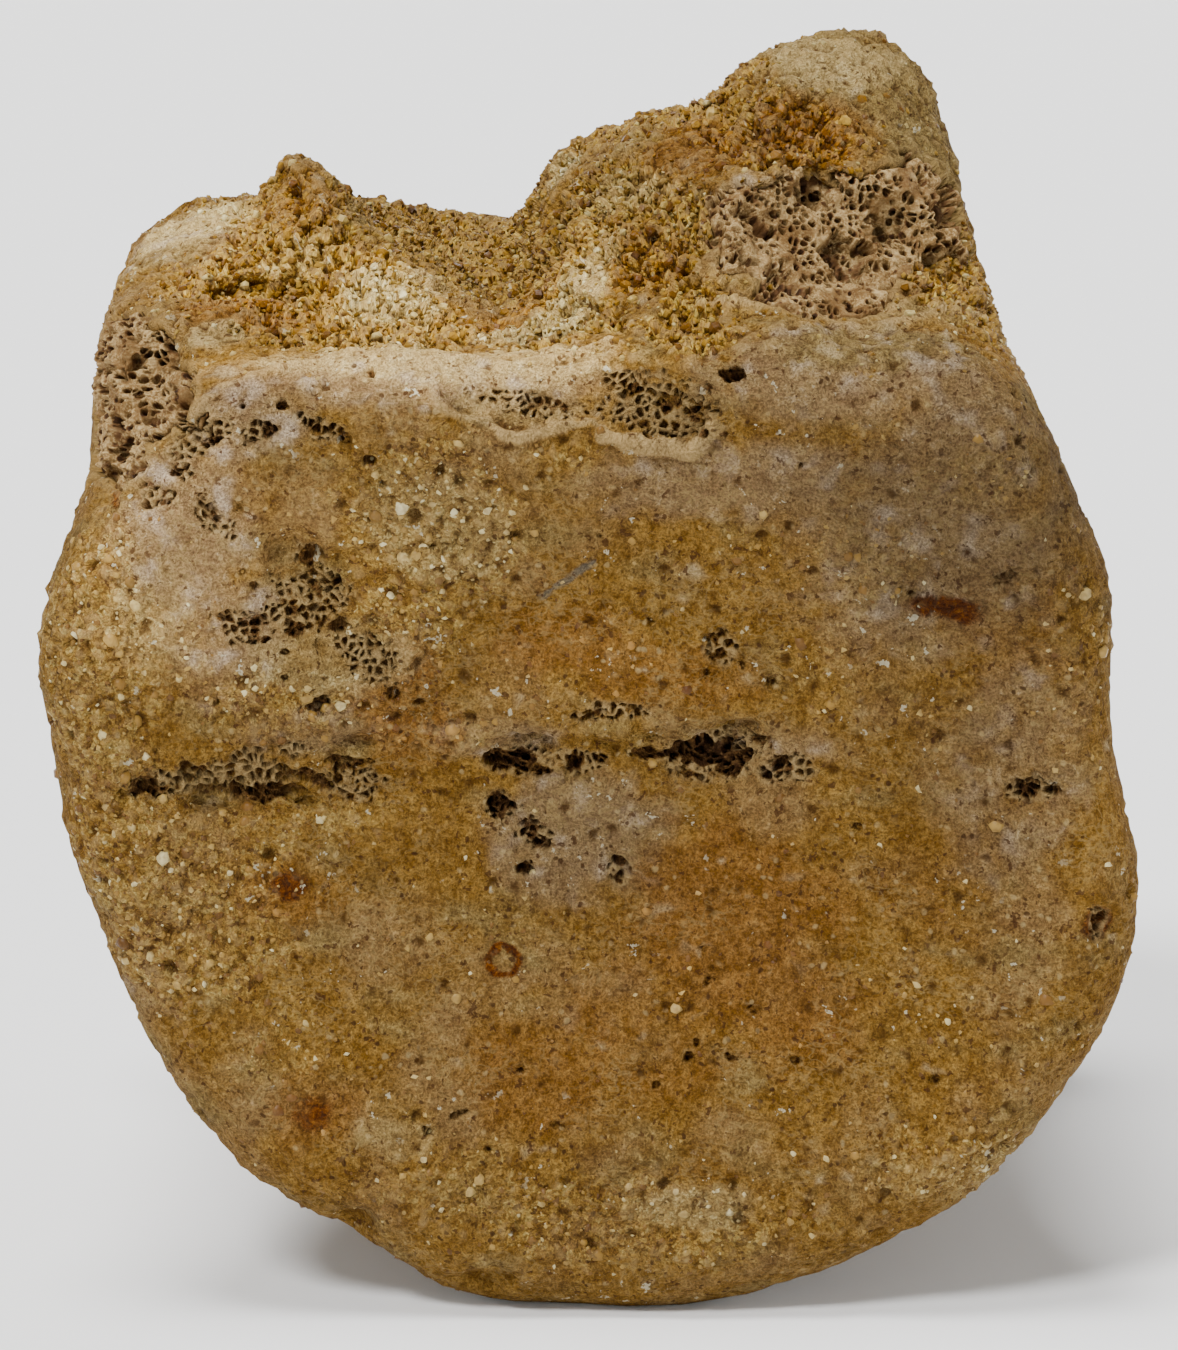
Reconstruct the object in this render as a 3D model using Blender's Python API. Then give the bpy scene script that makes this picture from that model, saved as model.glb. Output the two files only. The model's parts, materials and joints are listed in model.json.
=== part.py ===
"""A fossil tail vertebra with a broken neural arch, one solid body.

The round body (centrum) lies along Y with its front joint face towards -Y, and +Z is up.
X is left and right as seen from the front. Two broken stumps of the neural arch stand on top,
with the open groove of the neural canal between them. The bone stands upright on two small
worn flat spots, one under each rim.

Sections are polar: an angle in degrees, 0 straight up and 90 towards +X, and a radius from the
long axis of the body.
"""

import math

import bmesh
import bpy
import numpy as np
from mathutils import Matrix, Vector, noise
from mathutils.bvhtree import BVHTree

MM = 0.001

# Driving dimensions
LENGTH = 62 * MM
AXIS_HEIGHT = 32.5 * MM
RIM_ROUNDING = 4.5 * MM
FRONT_DISH = 3.2 * MM
REAR_DISH = 5.5 * MM
WAIST = 0.86
FLAT_DEPTH = 0.6 * MM

# How fine the first mesh is, and how much of it is kept
FACE_RINGS = 20
SIDE_RINGS = 38
FINE_STEP = 2.0
COARSE_STEP = 4.0
KEPT_SHARE = 0.28

# Outline of the two rims, as (angle, radius in mm). The flat top is where the arch stood.
RIM = (
    (-60, 39.0), (-50, 37.2), (-40, 36.5), (-28, 35.5), (-16, 33.8), (-4, 32.6), (6, 32.9),
    (16, 34.6), (26, 36.6), (36, 39.3), (46, 40.4), (58, 38.7), (70, 36.1), (82, 35.4), (94, 36.6),
    (104, 36.8), (120, 35.9), (144, 34.5), (166, 33.3), (180, 33.0), (194, 33.0), (208, 31.7),
    (232, 32.4), (262, 33.2), (280, 35.7), (291, 38.1),
)

# The crown: radii in mm across the top, one row for each station along the body.
CROWN_ANGLES = (-60, -50, -43, -36, -30, -25, -20, -15, -9, -4, 2, 8, 11, 14, 19, 23, 27, 32, 38, 46, 56)
CROWN = {
    -30: (38.8, 37.2, 36.8, 36.2, 35.6, 35.0, 34.3, 33.6, 32.8, 32.5, 32.5, 33.2, 33.8, 34.4, 35.2, 36.0, 36.8,
          38.2, 39.6, 40.4, 38.8),
    -25: (39.2, 39.8, 41.0, 39.6, 36.9, 35.8, 35.0, 33.6, 32.6, 32.6, 33.4, 34.9, 35.6, 36.2, 37.1, 37.6, 38.0,
          39.4, 41.2, 40.8, 39.0),
    -18: (39.4, 42.8, 45.2, 42.0, 39.6, 38.6, 37.0, 34.2, 32.4, 34.8, 37.6, 39.7, 40.4, 41.0, 42.0, 42.5, 42.9,
          42.9, 42.4, 40.4, 38.8),
    -10: (39.4, 43.2, 46.2, 44.0, 42.8, 42.6, 38.2, 34.6, 32.4, 36.6, 40.8, 42.4, 43.8, 45.8, 47.4, 47.6, 47.2,
          46.4, 42.8, 39.8, 38.4),
    -3: (39.6, 43.2, 46.8, 45.8, 44.8, 46.2, 38.2, 35.0, 32.4, 39.0, 43.0, 45.2, 46.6, 49.6, 52.8, 53.2, 51.2,
         46.8, 43.0, 39.8, 38.2),
    7: (39.6, 42.8, 46.6, 46.6, 44.0, 42.2, 38.0, 35.0, 35.0, 40.8, 42.2, 43.4, 44.8, 47.6, 50.8, 51.2, 49.8,
        45.6, 42.0, 39.4, 38.0),
    17: (38.8, 40.6, 43.0, 42.6, 40.4, 39.0, 36.6, 34.6, 34.6, 37.6, 38.8, 40.5, 41.6, 42.8, 44.6, 45.0, 44.4,
         42.4, 40.4, 38.6, 37.6),
    26: (38.6, 38.4, 38.6, 38.4, 37.9, 37.3, 36.2, 35.2, 34.2, 34.3, 35.0, 35.8, 36.2, 36.8, 37.8, 38.4, 38.8,
         39.0, 39.0, 38.6, 38.2),
    31: (36.8, 36.4, 36.2, 36.0, 35.6, 35.2, 34.6, 34.0, 33.4, 33.4, 33.6, 34.0, 34.2, 34.6, 35.4, 35.8, 36.2,
         36.6, 37.2, 37.4, 37.2),
}

# Beyond the inner angle the crown fades into the waisted sides, and it ends at the outer angle.
CROWN_INNER = 50
CROWN_OUTER = 78

# Broad dents in the front face: (x, z, half width, half height, depth), in mm.
FRONT_DENTS = (
    (-8, 36.5, 27, 2.0, 0.9),
    (-20, 50, 7, 6, 0.7),
    (4, 24, 16, 9, 0.8),
    (20, 54, 10, 8, -0.9),
    (-2, 61.5, 10, 3.2, 0.5),
    (-10, 15, 14, 7, -0.5),
)

# Pits and broken patches, each cut by a rough lump set on the nearest point of the skin:
# (name, (x, y, z), (half width, half height, depth), turn in the skin in degrees), in mm.
PITS = (
    ("window_shallow", (-1.8, -30.0, 61.4), (8.0, 2.5, 1.1), 4),
    ("window_deep", (4.8, -30.0, 61.7), (4.0, 2.6, 2.6), -8),
    ("hole_by_window", (9.2, -30.0, 63.3), (1.0, 0.8, 1.8), 0),
    ("upper_left", (-23.6, -30.0, 54.0), (1.7, 0.9, 1.5), 40),
    ("cluster_upper", (-18.4, -30.0, 50.4), (3.3, 2.1, 2.2), -30),
    ("cluster_middle", (-21.9, -30.0, 47.3), (2.0, 1.3, 2.0), 0),
    ("cluster_lower", (-15.4, -30.0, 45.6), (2.6, 1.6, 1.6), 40),
    ("cluster_end", (-17.4, -30.0, 41.8), (0.9, 0.9, 1.2), 0),
    ("crack_far_left", (-29.2, -30.0, 35.8), (2.3, 0.9, 1.5), 4),
    ("crack_left", (-24.0, -30.0, 35.3), (3.2, 1.0, 2.0), 0),
    ("crack_left_step", (-19.2, -30.0, 36.2), (2.4, 0.9, 2.0), -28),
    ("crack_left_end", (-14.9, -30.0, 37.7), (1.7, 0.8, 1.4), -12),
    ("crack_middle", (-4.6, -30.0, 37.4), (2.5, 1.0, 2.4), -4),
    ("crack_narrow", (0.6, -30.0, 37.7), (2.0, 0.7, 1.4), -6),
    ("crack_right", (4.0, -30.0, 38.1), (1.7, 0.8, 1.8), 0),
    ("crack_big", (7.9, -30.0, 37.8), (3.5, 1.5, 2.8), 12),
    ("crack_tail", (12.2, -30.0, 36.9), (1.7, 0.8, 1.4), 14),
    ("low_pit_upper", (-5.7, -30.0, 34.3), (0.9, 1.1, 1.8), 0),
    ("low_pit_middle", (-3.6, -30.0, 32.3), (1.2, 1.0, 1.6), 40),
    ("low_pit_end", (-4.2, -30.0, 30.4), (0.9, 0.6, 1.2), 0),
    ("right_pit", (29.0, -30.0, 35.9), (1.7, 0.8, 1.6), 4),
    ("right_edge_pit", (33.3, -29.0, 27.1), (0.8, 1.0, 1.4), -20),
    ("small_pits", (8.2, -30.0, 45.2), (1.2, 0.7, 1.0), 30),
    ("left_crack", (-16.9, -30.0, 59.5), (2.0, 0.8, 1.2), 10),
    ("rim_chip_left", (-17.6, -30.5, 3.6), (2.8, 1.4, 1.4), 30),
    ("rim_chip_low", (-7.6, -31.0, 1.2), (2.4, 1.2, 1.2), 10),
    ("spongy_right", (15.6, -18.0, 71.6), (9.0, 5.2, 3.2), 4),
    ("spongy_far_right", (24.0, -15.0, 70.8), (3.2, 3.0, 2.6), 0),
    ("pocket_right", (21.4, -14.0, 73.4), (2.2, 1.5, 4.0), 8),
    ("pocket_middle", (15.4, -14.0, 74.4), (1.9, 1.2, 3.6), 0),
    ("spongy_left", (-28.6, -24.0, 62.2), (3.2, 4.4, 1.8), 20),
    ("spongy_left_low", (-31.4, -26.0, 56.4), (2.0, 2.6, 1.4), 10),
    ("left_hollow", (-22.8, -16.0, 67.0), (3.4, 2.2, 1.6), 12),
    ("canal_hole", (-9.6, -25.0, 65.4), (1.6, 1.6, 1.8), 0),
    ("rear_break", (14.0, 20.0, 74.0), (8.0, 4.4, 2.2), -10),
    ("rear_break_left", (-28.0, 20.0, 68.0), (5.0, 3.6, 1.8), 20),
    ("rear_pit", (-12.0, 29.0, 44.0), (3.0, 1.8, 1.8), 20),
    ("rear_pit_low", (9.0, 28.0, 22.0), (2.2, 1.6, 1.6), -30),
    ("side_pit_right", (31.6, 2.0, 38.0), (3.2, 1.6, 1.8), 0),
    ("side_pit_left", (-31.4, -4.0, 30.0), (3.4, 1.4, 1.6), 0),
)


def clear_scene():
    for thing in list(bpy.data.objects):
        bpy.data.objects.remove(thing, do_unlink=True)


def smooth_curve(knots, values, at):
    """A cubic curve through values at rising knots, read at the places in at."""
    knots = np.asarray(knots, float)
    values = np.asarray(values, float)
    slopes = np.gradient(values, knots, axis=0)
    at = np.clip(np.asarray(at, float), knots[0], knots[-1])
    low = np.clip(np.searchsorted(knots, at) - 1, 0, len(knots) - 2)
    step = knots[low + 1] - knots[low]
    t = (at - knots[low]) / step
    extra = values.ndim - 1
    t = t.reshape(t.shape + (1,) * extra)
    step = step.reshape(step.shape + (1,) * extra)
    return (
        (2 * t**3 - 3 * t**2 + 1) * values[low]
        + (t**3 - 2 * t**2 + t) * step * slopes[low]
        + (3 * t**2 - 2 * t**3) * values[low + 1]
        + (t**3 - t**2) * step * slopes[low + 1]
    )


def section_angles():
    """Angles of one ring, close together across the crown and wider round the belly."""
    fine = np.arange(-CROWN_INNER - 10, CROWN_INNER + 10, FINE_STEP)
    coarse = np.arange(CROWN_INNER + 10, 300, COARSE_STEP)
    return np.concatenate([fine, coarse])


def rim_radius(angles):
    """Radius of the rims, from their outline carried once more round each way."""
    turns = [(angle + turn, radius) for turn in (-360, 0, 360) for angle, radius in RIM]
    knots, radii = zip(*turns)
    return smooth_curve(knots, radii, angles) * MM


def crown_radius(angles, y):
    """Radius across the top at one station along the body."""
    stations = [station * MM for station in CROWN]
    row = smooth_curve(stations, list(CROWN.values()), y)
    wrapped = (angles + 180) % 360 - 180
    return smooth_curve(CROWN_ANGLES, row, wrapped) * MM


def crown_share(angles):
    """1 on the crown, 0 on the sides and the belly."""
    wrapped = np.abs((angles + 180) % 360 - 180)
    t = np.clip((CROWN_OUTER - wrapped) / (CROWN_OUTER - CROWN_INNER), 0, 1)
    return t * t * (3 - 2 * t)


def side_radius(angles, y):
    """Radius of the body's wall at y: rims joined by a waist, with the crown on top."""
    along = min(1, abs(y) / (LENGTH / 2 - RIM_ROUNDING))
    waist = WAIST + (1 - WAIST) * along**2.2
    belly = rim_radius(angles) * waist
    share = crown_share(angles)
    return belly * (1 - share) + crown_radius(angles, y) * share


def rounded_edge(t):
    """How far the rim has curved in, 0 on the wall to 1 on the face, for t from 0 to 1."""
    return 1 - math.cos(t * math.pi / 2), math.sin(t * math.pi / 2)


def ring_points(angles, radius, y):
    turn = np.radians(angles)
    x = radius * np.sin(turn)
    z = AXIS_HEIGHT + radius * np.cos(turn)
    return np.stack([x, np.full_like(x, y) if np.isscalar(y) else y, z], axis=1)


def face_rings(angles, end, dish):
    """Rings of one joint face from near its middle out to its rounded rim; end is -1 or 1."""
    edge_y = end * (LENGTH / 2 - RIM_ROUNDING)
    wall = side_radius(angles, edge_y)
    flat = wall - RIM_ROUNDING
    rings = []
    for step in range(1, FACE_RINGS + 1):
        share = step / FACE_RINGS
        depth = dish * (1 - share**2.4)
        rings.append(ring_points(angles, flat * share, end * (LENGTH / 2 - depth)))
    for t in (0.75, 0.5, 0.25):
        inward, outward = rounded_edge(t)
        y = edge_y + end * RIM_ROUNDING * outward
        rings.append(ring_points(angles, wall - RIM_ROUNDING * inward, y))
    return rings


def side_rings(angles):
    reach = LENGTH / 2 - RIM_ROUNDING
    return [
        ring_points(angles, side_radius(angles, y), y)
        for y in np.linspace(-reach, reach, SIDE_RINGS)
    ]


def closed_mesh(rings, first_pole, last_pole):
    """One closed skin from a pole, through the rings, to the other pole."""
    count = len(rings[0])
    points = [first_pole, *np.concatenate(rings), last_pole]
    last = len(points) - 1
    faces = []
    for i in range(count):
        j = (i + 1) % count
        faces.append((0, 1 + j, 1 + i))
        for ring in range(len(rings) - 1):
            start = 1 + ring * count
            faces.append((start + i, start + j, start + count + j, start + count + i))
        start = last - count
        faces.append((last, start + i, start + j))
    mesh = bpy.data.meshes.new("vertebra")
    mesh.from_pydata([tuple(p) for p in points], [], faces)
    return mesh


def lumpy(point, size, height):
    return noise.noise_vector(point / size) * height


def dent_front(point):
    """How far the broad dents push a point of the front face inwards."""
    if point.y > -LENGTH / 2 + 10 * MM:
        return 0
    push = 0
    for x, z, half_x, half_z, depth in FRONT_DENTS:
        u = (point.x - x * MM) / (half_x * MM)
        v = (point.z - z * MM) / (half_z * MM)
        push += depth * MM * math.exp(-1.2 * (u * u + v * v))
    return push


def weather(mesh):
    """Uneven growth and wear: broad dents, low swells all over, and rough broken bone on top."""
    for vertex in mesh.vertices:
        point = vertex.co.copy()
        point.y += dent_front(point)
        rough = max(0, min(1, (point.z - 60 * MM) / (8 * MM)))
        vertex.co = (
            point
            + lumpy(point, 14 * MM, 0.7 * MM)
            + lumpy(point, 6 * MM, (0.25 + 0.45 * rough) * MM)
            + lumpy(point, 2.8 * MM, (0.1 + 0.4 * rough) * MM)
        )


def lowest(points):
    return points[points[:, 2].argmin()]


def stand_on_rims(mesh):
    """Level the lowest points of the two rims, so that both meet the ground."""
    points = np.array([vertex.co for vertex in mesh.vertices])
    front = lowest(points[points[:, 1] < 0])
    rear = lowest(points[points[:, 1] > 0])
    pitch = math.atan2(rear[2] - front[2], rear[1] - front[1])
    mesh.transform(Matrix.Rotation(-pitch, 4, "X"))


def centre_on_origin(mesh):
    """Put the middle of the plan over the origin and sink the lowest points by the flat spots."""
    points = np.array([vertex.co for vertex in mesh.vertices])
    low, high = points.min(axis=0), points.max(axis=0)
    shift = -(low + high) / 2
    shift[2] = -low[2] - FLAT_DEPTH
    mesh.transform(Matrix.Translation(shift))


def skin_frame(skin, target, turn):
    """A frame on the skin nearest to target: its third axis points out of the bone."""
    place, outward, _, _ = skin.find_nearest(target)
    across = Vector((0, 0, 1)).cross(outward)
    if across.length < 0.3:
        across = Vector((1, 0, 0))
    across = (across - across.dot(outward) * outward).normalized()
    up = outward.cross(across)
    frame = Matrix((across, up, outward)).transposed().to_4x4()
    return Matrix.Translation(place) @ frame @ Matrix.Rotation(math.radians(turn), 4, "Z")


def cutter(skin, name, target, half_sizes, turn):
    """A rough lump that bites a pit out of the bone."""
    shape = bmesh.new()
    bmesh.ops.create_icosphere(shape, subdivisions=2, radius=1)
    offset = Vector(target) * 0.37
    for vertex in shape.verts:
        vertex.co *= 1 + 0.35 * noise.noise(vertex.co * 1.4 + offset)
    sizes = Matrix.Diagonal((*(Vector(half_sizes) * MM), 1))
    shape.transform(skin_frame(skin, Vector(target) * MM, turn) @ sizes)
    mesh = bpy.data.meshes.new(name)
    shape.to_mesh(mesh)
    shape.free()
    return helper(name, mesh)


def ground_cutter():
    """A block whose top is the plane that the bone stands on."""
    shape = bmesh.new()
    bmesh.ops.create_cube(shape, size=1)
    height = 10 * MM
    place = Matrix.Translation((0, 0, -height / 2)) @ Matrix.Diagonal((0.12, 0.12, height, 1))
    shape.transform(place)
    mesh = bpy.data.meshes.new("ground")
    shape.to_mesh(mesh)
    shape.free()
    return helper("ground", mesh)


def helper(name, mesh):
    thing = bpy.data.objects.new(name, mesh)
    thing.hide_render = True
    thing.display_type = "WIRE"
    return thing


def bone_material():
    material = bpy.data.materials.new("fossil bone")
    material.use_nodes = True
    shader = material.node_tree.nodes["Principled BSDF"]
    shader.inputs["Base Color"].default_value = (0.30, 0.17, 0.06, 1)
    shader.inputs["Roughness"].default_value = 0.75
    shader.inputs["Metallic"].default_value = 0
    return material


def build_vertebra():
    angles = section_angles()
    front = face_rings(angles, -1, FRONT_DISH)
    rear = face_rings(angles, 1, REAR_DISH)
    rings = front + side_rings(angles) + rear[::-1]
    front_pole = (0, -(LENGTH / 2 - FRONT_DISH), AXIS_HEIGHT)
    rear_pole = (0, LENGTH / 2 - REAR_DISH, AXIS_HEIGHT)
    mesh = closed_mesh(rings, front_pole, rear_pole)
    weather(mesh)
    stand_on_rims(mesh)
    centre_on_origin(mesh)
    mesh.materials.append(bone_material())
    mesh.shade_smooth()
    bone = bpy.data.objects.new("vertebra", mesh)
    bpy.context.scene.collection.objects.link(bone)
    return bone


def cut_pits(bone):
    pits = bpy.data.collections.new("pits")
    bpy.context.scene.collection.children.link(pits)
    skin = BVHTree.FromPolygons(
        [vertex.co for vertex in bone.data.vertices],
        [face.vertices for face in bone.data.polygons],
    )
    for pit in PITS:
        pits.objects.link(cutter(skin, *pit))
    thin = bone.modifiers.new("fewer faces", "DECIMATE")
    thin.ratio = KEPT_SHARE
    cut = bone.modifiers.new("pits", "BOOLEAN")
    cut.operation = "DIFFERENCE"
    cut.operand_type = "COLLECTION"
    cut.collection = pits


def cut_flat_spots(bone):
    ground = ground_cutter()
    bpy.context.scene.collection.objects.link(ground)
    cut = bone.modifiers.new("flat spots", "BOOLEAN")
    cut.operation = "DIFFERENCE"
    cut.object = ground


def main():
    clear_scene()
    bone = build_vertebra()
    cut_pits(bone)
    cut_flat_spots(bone)


main()
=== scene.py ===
"""The looks of a fossil tail vertebra: weathered bone, broken spongy bone and cemented sand.

Sizes and places of the forms are in millimetres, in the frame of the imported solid: +Z is up, the
front joint face looks towards -Y, and X runs left to right as seen from the front.
"""

import json
import math

import bmesh
import bpy
import numpy as np
from bpy.props import FloatProperty, FloatVectorProperty, IntProperty, PointerProperty
from bpy.types import Operator, Panel, PropertyGroup
from mathutils import Euler, Matrix, Vector, noise

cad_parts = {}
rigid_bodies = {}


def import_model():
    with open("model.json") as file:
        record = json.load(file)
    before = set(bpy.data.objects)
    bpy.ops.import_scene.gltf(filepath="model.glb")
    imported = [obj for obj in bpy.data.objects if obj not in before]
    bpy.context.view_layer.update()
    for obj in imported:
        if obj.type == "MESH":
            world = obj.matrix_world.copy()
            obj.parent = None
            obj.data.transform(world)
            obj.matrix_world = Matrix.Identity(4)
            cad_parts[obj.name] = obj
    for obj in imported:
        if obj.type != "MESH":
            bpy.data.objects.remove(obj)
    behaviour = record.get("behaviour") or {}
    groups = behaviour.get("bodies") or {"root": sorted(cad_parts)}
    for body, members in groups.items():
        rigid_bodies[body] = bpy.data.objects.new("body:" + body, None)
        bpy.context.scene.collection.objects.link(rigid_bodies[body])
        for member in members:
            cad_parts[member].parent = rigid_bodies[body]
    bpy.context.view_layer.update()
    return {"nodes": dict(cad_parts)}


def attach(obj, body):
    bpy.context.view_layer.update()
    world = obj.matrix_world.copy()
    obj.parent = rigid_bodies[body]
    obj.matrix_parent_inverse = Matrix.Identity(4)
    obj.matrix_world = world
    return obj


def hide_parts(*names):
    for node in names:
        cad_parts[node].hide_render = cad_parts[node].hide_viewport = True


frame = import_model()

bl_info = {
    "name": "Fossil vertebra",
    "version": (1, 0, 0),
    "blender": (4, 5, 0),
    "location": "3D View > Sidebar > Fossil",
    "description": "Builds the weathered surface, spongy bone and sand of a fossil vertebra",
    "category": "Object",
}

MM = 0.001
NODE = "vertebra"
BODY = "root"

# The front face and the crown keep more of their triangles than the rest.
FINE_FROM_Y = -22.0
FINE_FROM_Z = 58.0
FINE_EDGE = 4.0
FRONT_FACE = -20.0

# Where each finish lies: (x, y, z, half width, half depth, half height, strength). SAND is cemented
# grains, MAUVE smooth hard bone, IRON orange stains, RUST dark scabs and PALE cream stains.
SAND = (
    (-19.5, -14.4, 68.4, 8.5, 9, 5.2, 1), (-13.7, -18.4, 67.3, 4.4, 6, 3.6, 1),
    (-10.7, -20.4, 65.6, 3.4, 6, 3, 1), (-1.5, -10.7, 69.9, 8.6, 9, 6.6, 1),
    (3.8, -18.1, 71.2, 4.6, 6, 5.2, 1), (-17.5, -22.6, 65.6, 7, 4, 2, 1), (-3, -22.6, 66, 6, 4, 2, 1),
    (7, -24.2, 67.5, 2.6, 3, 2.4, 0.9), (13.4, -10, 77.2, 5.2, 6, 3.6, 1), (-10, 6, 67, 9, 16, 6, 1),
    (8, 4, 76, 9, 10, 5, 0.9), (-22, 2, 70, 7, 9, 5, 0.7), (-32.1, -30.4, 44.1, 4.2, 7, 10, 0.9),
    (-25.8, -29.7, 27.5, 7, 4, 6.4, 0.9), (-30.9, -30.2, 33.1, 4.2, 6, 6, 0.95),
    (-10.6, -28.9, 53.8, 6.6, 4, 5.6, 1), (-12.4, -27.3, 46.6, 4.2, 3, 4.6, 0.9),
    (-20, -28, 41.6, 6.6, 3, 2.6, 0.75), (-26.6, -29.6, 46, 3, 3, 4, 0.5),
    (-11, -27.6, 39.4, 5, 3, 1.4, 0.7), (3.1, -30, 6.8, 12.6, 5, 3.4, 0.75),
    (-9.4, -30.3, 9.6, 6.5, 4, 3.4, 0.6), (-20.5, -30.3, 19.5, 4, 4, 4.4, 0.55),
    (17.3, -29.7, 51.3, 5.4, 3, 3.4, 0.5), (26.2, -31.5, 57.5, 3.6, 4, 3.4, 0.5),
    (15.5, -28.3, 43, 3.4, 3, 3.6, 0.5), (6.3, -27.8, 66.1, 3.3, 3, 2, 0.9),
    (17.5, -30, 64, 1.3, 2, 0.8, 0.9), (10, -29, 52, 3, 3, 1.6, 0.5),
    (19.6, -28.6, 22.2, 4.4, 3, 4.4, 0.4), (31.4, -29.4, 44.1, 3, 6, 7.6, 0.5),
    (-19.3, -27.5, 33.6, 7.8, 3, 1.6, 0.6), (-2.1, -29.9, 58, 4.2, 3, 1.2, 0.6),
    (24, -29, 11, 6.4, 4, 3.4, 0.7), (14, 30, 20, 12, 6, 8, 0.9), (-20, 28, 47, 8, 8, 10, 0.85),
    (4, 30, 58, 12, 8, 3, 0.8), (35, 12, 26, 6, 10, 8, 0.9), (-35, -8, 45, 6, 8, 9, 0.8),
    (-34, 16, 24, 6, 8, 7, 0.9),
)
MAUVE = (
    (16.5, -29, 63.2, 9.8, 5, 3.4, 1), (23.6, -31.3, 59.8, 5, 4, 4.6, 0.9),
    (-11.1, -29, 62.8, 13.1, 4, 1.8, 0.9), (-22.4, -30.2, 60.6, 4.6, 3, 2.4, 1),
    (-26.5, -29.9, 52.3, 5.2, 3, 4.6, 1), (-24, -28.6, 46, 4.6, 3, 4.6, 0.9),
    (-0.8, -27.4, 32.2, 5.6, 3, 4.6, 1), (-6.4, -27.4, 39, 5, 3, 1.4, 0.8),
    (-17.6, -27.9, 39.6, 5.4, 3, 1.8, 0.8), (21.4, -30.5, 52, 9.4, 4, 8, 0.85),
    (9.2, -29.8, 56.6, 9.8, 4, 2.8, 0.9), (-27, -30.3, 56.6, 3.9, 4, 2.6, 0.8),
    (12, -16.4, 73.4, 4.4, 3, 1.8, 1), (10.6, -27.6, 38.2, 5.6, 3, 2, 0.7),
    (27.4, -30, 38, 5.6, 4, 9, 0.6), (-28, -4, 69, 4, 6, 4, 0.9), (-30, -30, 22, 3, 3, 4, 0.5),
    (0, -28, 21, 5, 3, 5, 0.35), (10, 30, 46, 13, 8, 9, 0.9), (-14, 30, 22, 11, 8, 9, 0.8),
    (34, -4, 46, 6, 14, 9, 0.8), (-34, 4, 34, 6, 13, 8, 0.8),
)
IRON = (
    (-1, -28.1, 45.4, 5.8, 3, 3, 0.9), (4.6, -28.1, 43, 6.6, 3, 2.6, 0.8),
    (9, -27.3, 26.2, 7.6, 3, 7.4, 1), (13.6, -27.3, 20.4, 5, 3, 4.6, 0.9),
    (3, -27.6, 18, 7.8, 3, 4.8, 0.7), (-12.3, -27.4, 40.6, 3.6, 3, 5.4, 0.9),
    (-3.2, -28.5, 16.4, 6, 3, 4.6, 0.8), (-19.9, -28.7, 28.6, 4.6, 3, 2.6, 0.7),
    (-23.2, -20.7, 66.8, 5.4, 4, 3, 1), (7.2, -9, 75.4, 4.6, 6, 2.6, 0.9),
    (14.6, -9, 76.4, 4.4, 5, 3.4, 1), (-19.8, -8.7, 72, 3.4, 5, 3, 0.7),
    (-18.3, -30.4, 14.4, 3.6, 3, 3, 0.7), (27.4, -30, 47, 5, 4, 5, 0.5),
    (3.1, -20, 69.9, 3.4, 4, 4.2, 0.7), (-6, -16, 67, 2.6, 8, 3, 0.8), (23, -29, 29, 6, 4, 5, 0.5),
    (8, -28.6, 9, 8, 4, 2, 0.5), (-2, 30, 36, 9, 8, 8, 0.9), (20, 30, 30, 7, 8, 5, 0.7),
    (35, 8, 38, 6, 8, 6, 0.8), (-35, -10, 26, 6, 9, 6, 0.8),
)
RUST = (
    (22.6, -29.7, 48.2, 2.2, 2, 0.8, 1), (24.4, -29.7, 47.6, 1.2, 2, 0.8, 0.9),
    (-19.9, -28.7, 29.2, 1.4, 2, 1.2, 0.9), (-18.3, -30.4, 14.2, 1.6, 2, 1.3, 0.8),
    (33.2, -30.2, 27.1, 1.1, 2, 1.3, 0.9), (-31.2, -27, 55.2, 0.8, 2, 0.9, 0.9),
    (12, -9.6, 76.6, 4, 4, 2.6, 0.5), (-21.4, -20.4, 65.2, 1.8, 2, 0.9, 0.9),
    (-19, -28.7, 33.2, 1.4, 2, 0.7, 0.5),
)
PALE = (
    (-3.6, -20.9, 65.6, 4.2, 3, 1.6, 1), (-0.6, -19.6, 68.2, 2, 3, 2.6, 0.9),
    (0.6, -18.6, 71, 1.3, 3, 2.2, 0.7), (-13.4, -18.4, 66.9, 4.6, 5, 2.6, 0.9),
    (-11, -12, 67, 2.6, 4, 2.4, 0.7), (-27.6, -2.2, 70.4, 4.6, 5, 3.4, 0.9),
    (16.5, -3.8, 80.4, 5.4, 5, 2.6, 0.8), (-4.7, -28.7, 61.4, 5.2, 3, 1.8, 0.6),
    (24.3, -29.3, 9.6, 6.4, 4, 3, 0.45), (29, -28.6, 16, 3.4, 4, 4, 0.4),
    (-5.9, -27.5, 23.9, 0.4, 2, 0.4, 0.8), (7.4, -28.1, 27.9, 3.6, 2, 2.2, 0.3),
    (-10.6, -28.9, 53.8, 6.4, 3, 4.4, 0.5), (1.8, -11.3, 73.3, 3.9, 4, 1.6, 0.6),
    (-2.3, 1.7, 72.7, 2, 3, 1.6, 1), (-17, -28.4, 44.4, 6, 3, 2.6, 0.6),
    (-28.6, -29.4, 48, 3.4, 3, 6, 0.5), (7.1, -29.6, 7.6, 6, 4, 1.8, 0.6),
    (-13, -29.6, 12.6, 4, 3, 2, 0.6), (-9, -27.4, 64, 15, 3.4, 1.9, 0.75), (-20, -14, 69, 3, 4, 2.4, 0.5),
    (22, -24, 67.2, 6, 3, 2, 0.5), (-24.6, -22.4, 64.8, 2.6, 3, 1.4, 0.8), (-8, 30, 51, 8, 6, 4, 0.6),
    (12, 30, 14, 7, 6, 3, 0.6), (35, -12, 26, 5, 8, 5, 0.5),
)

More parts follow.
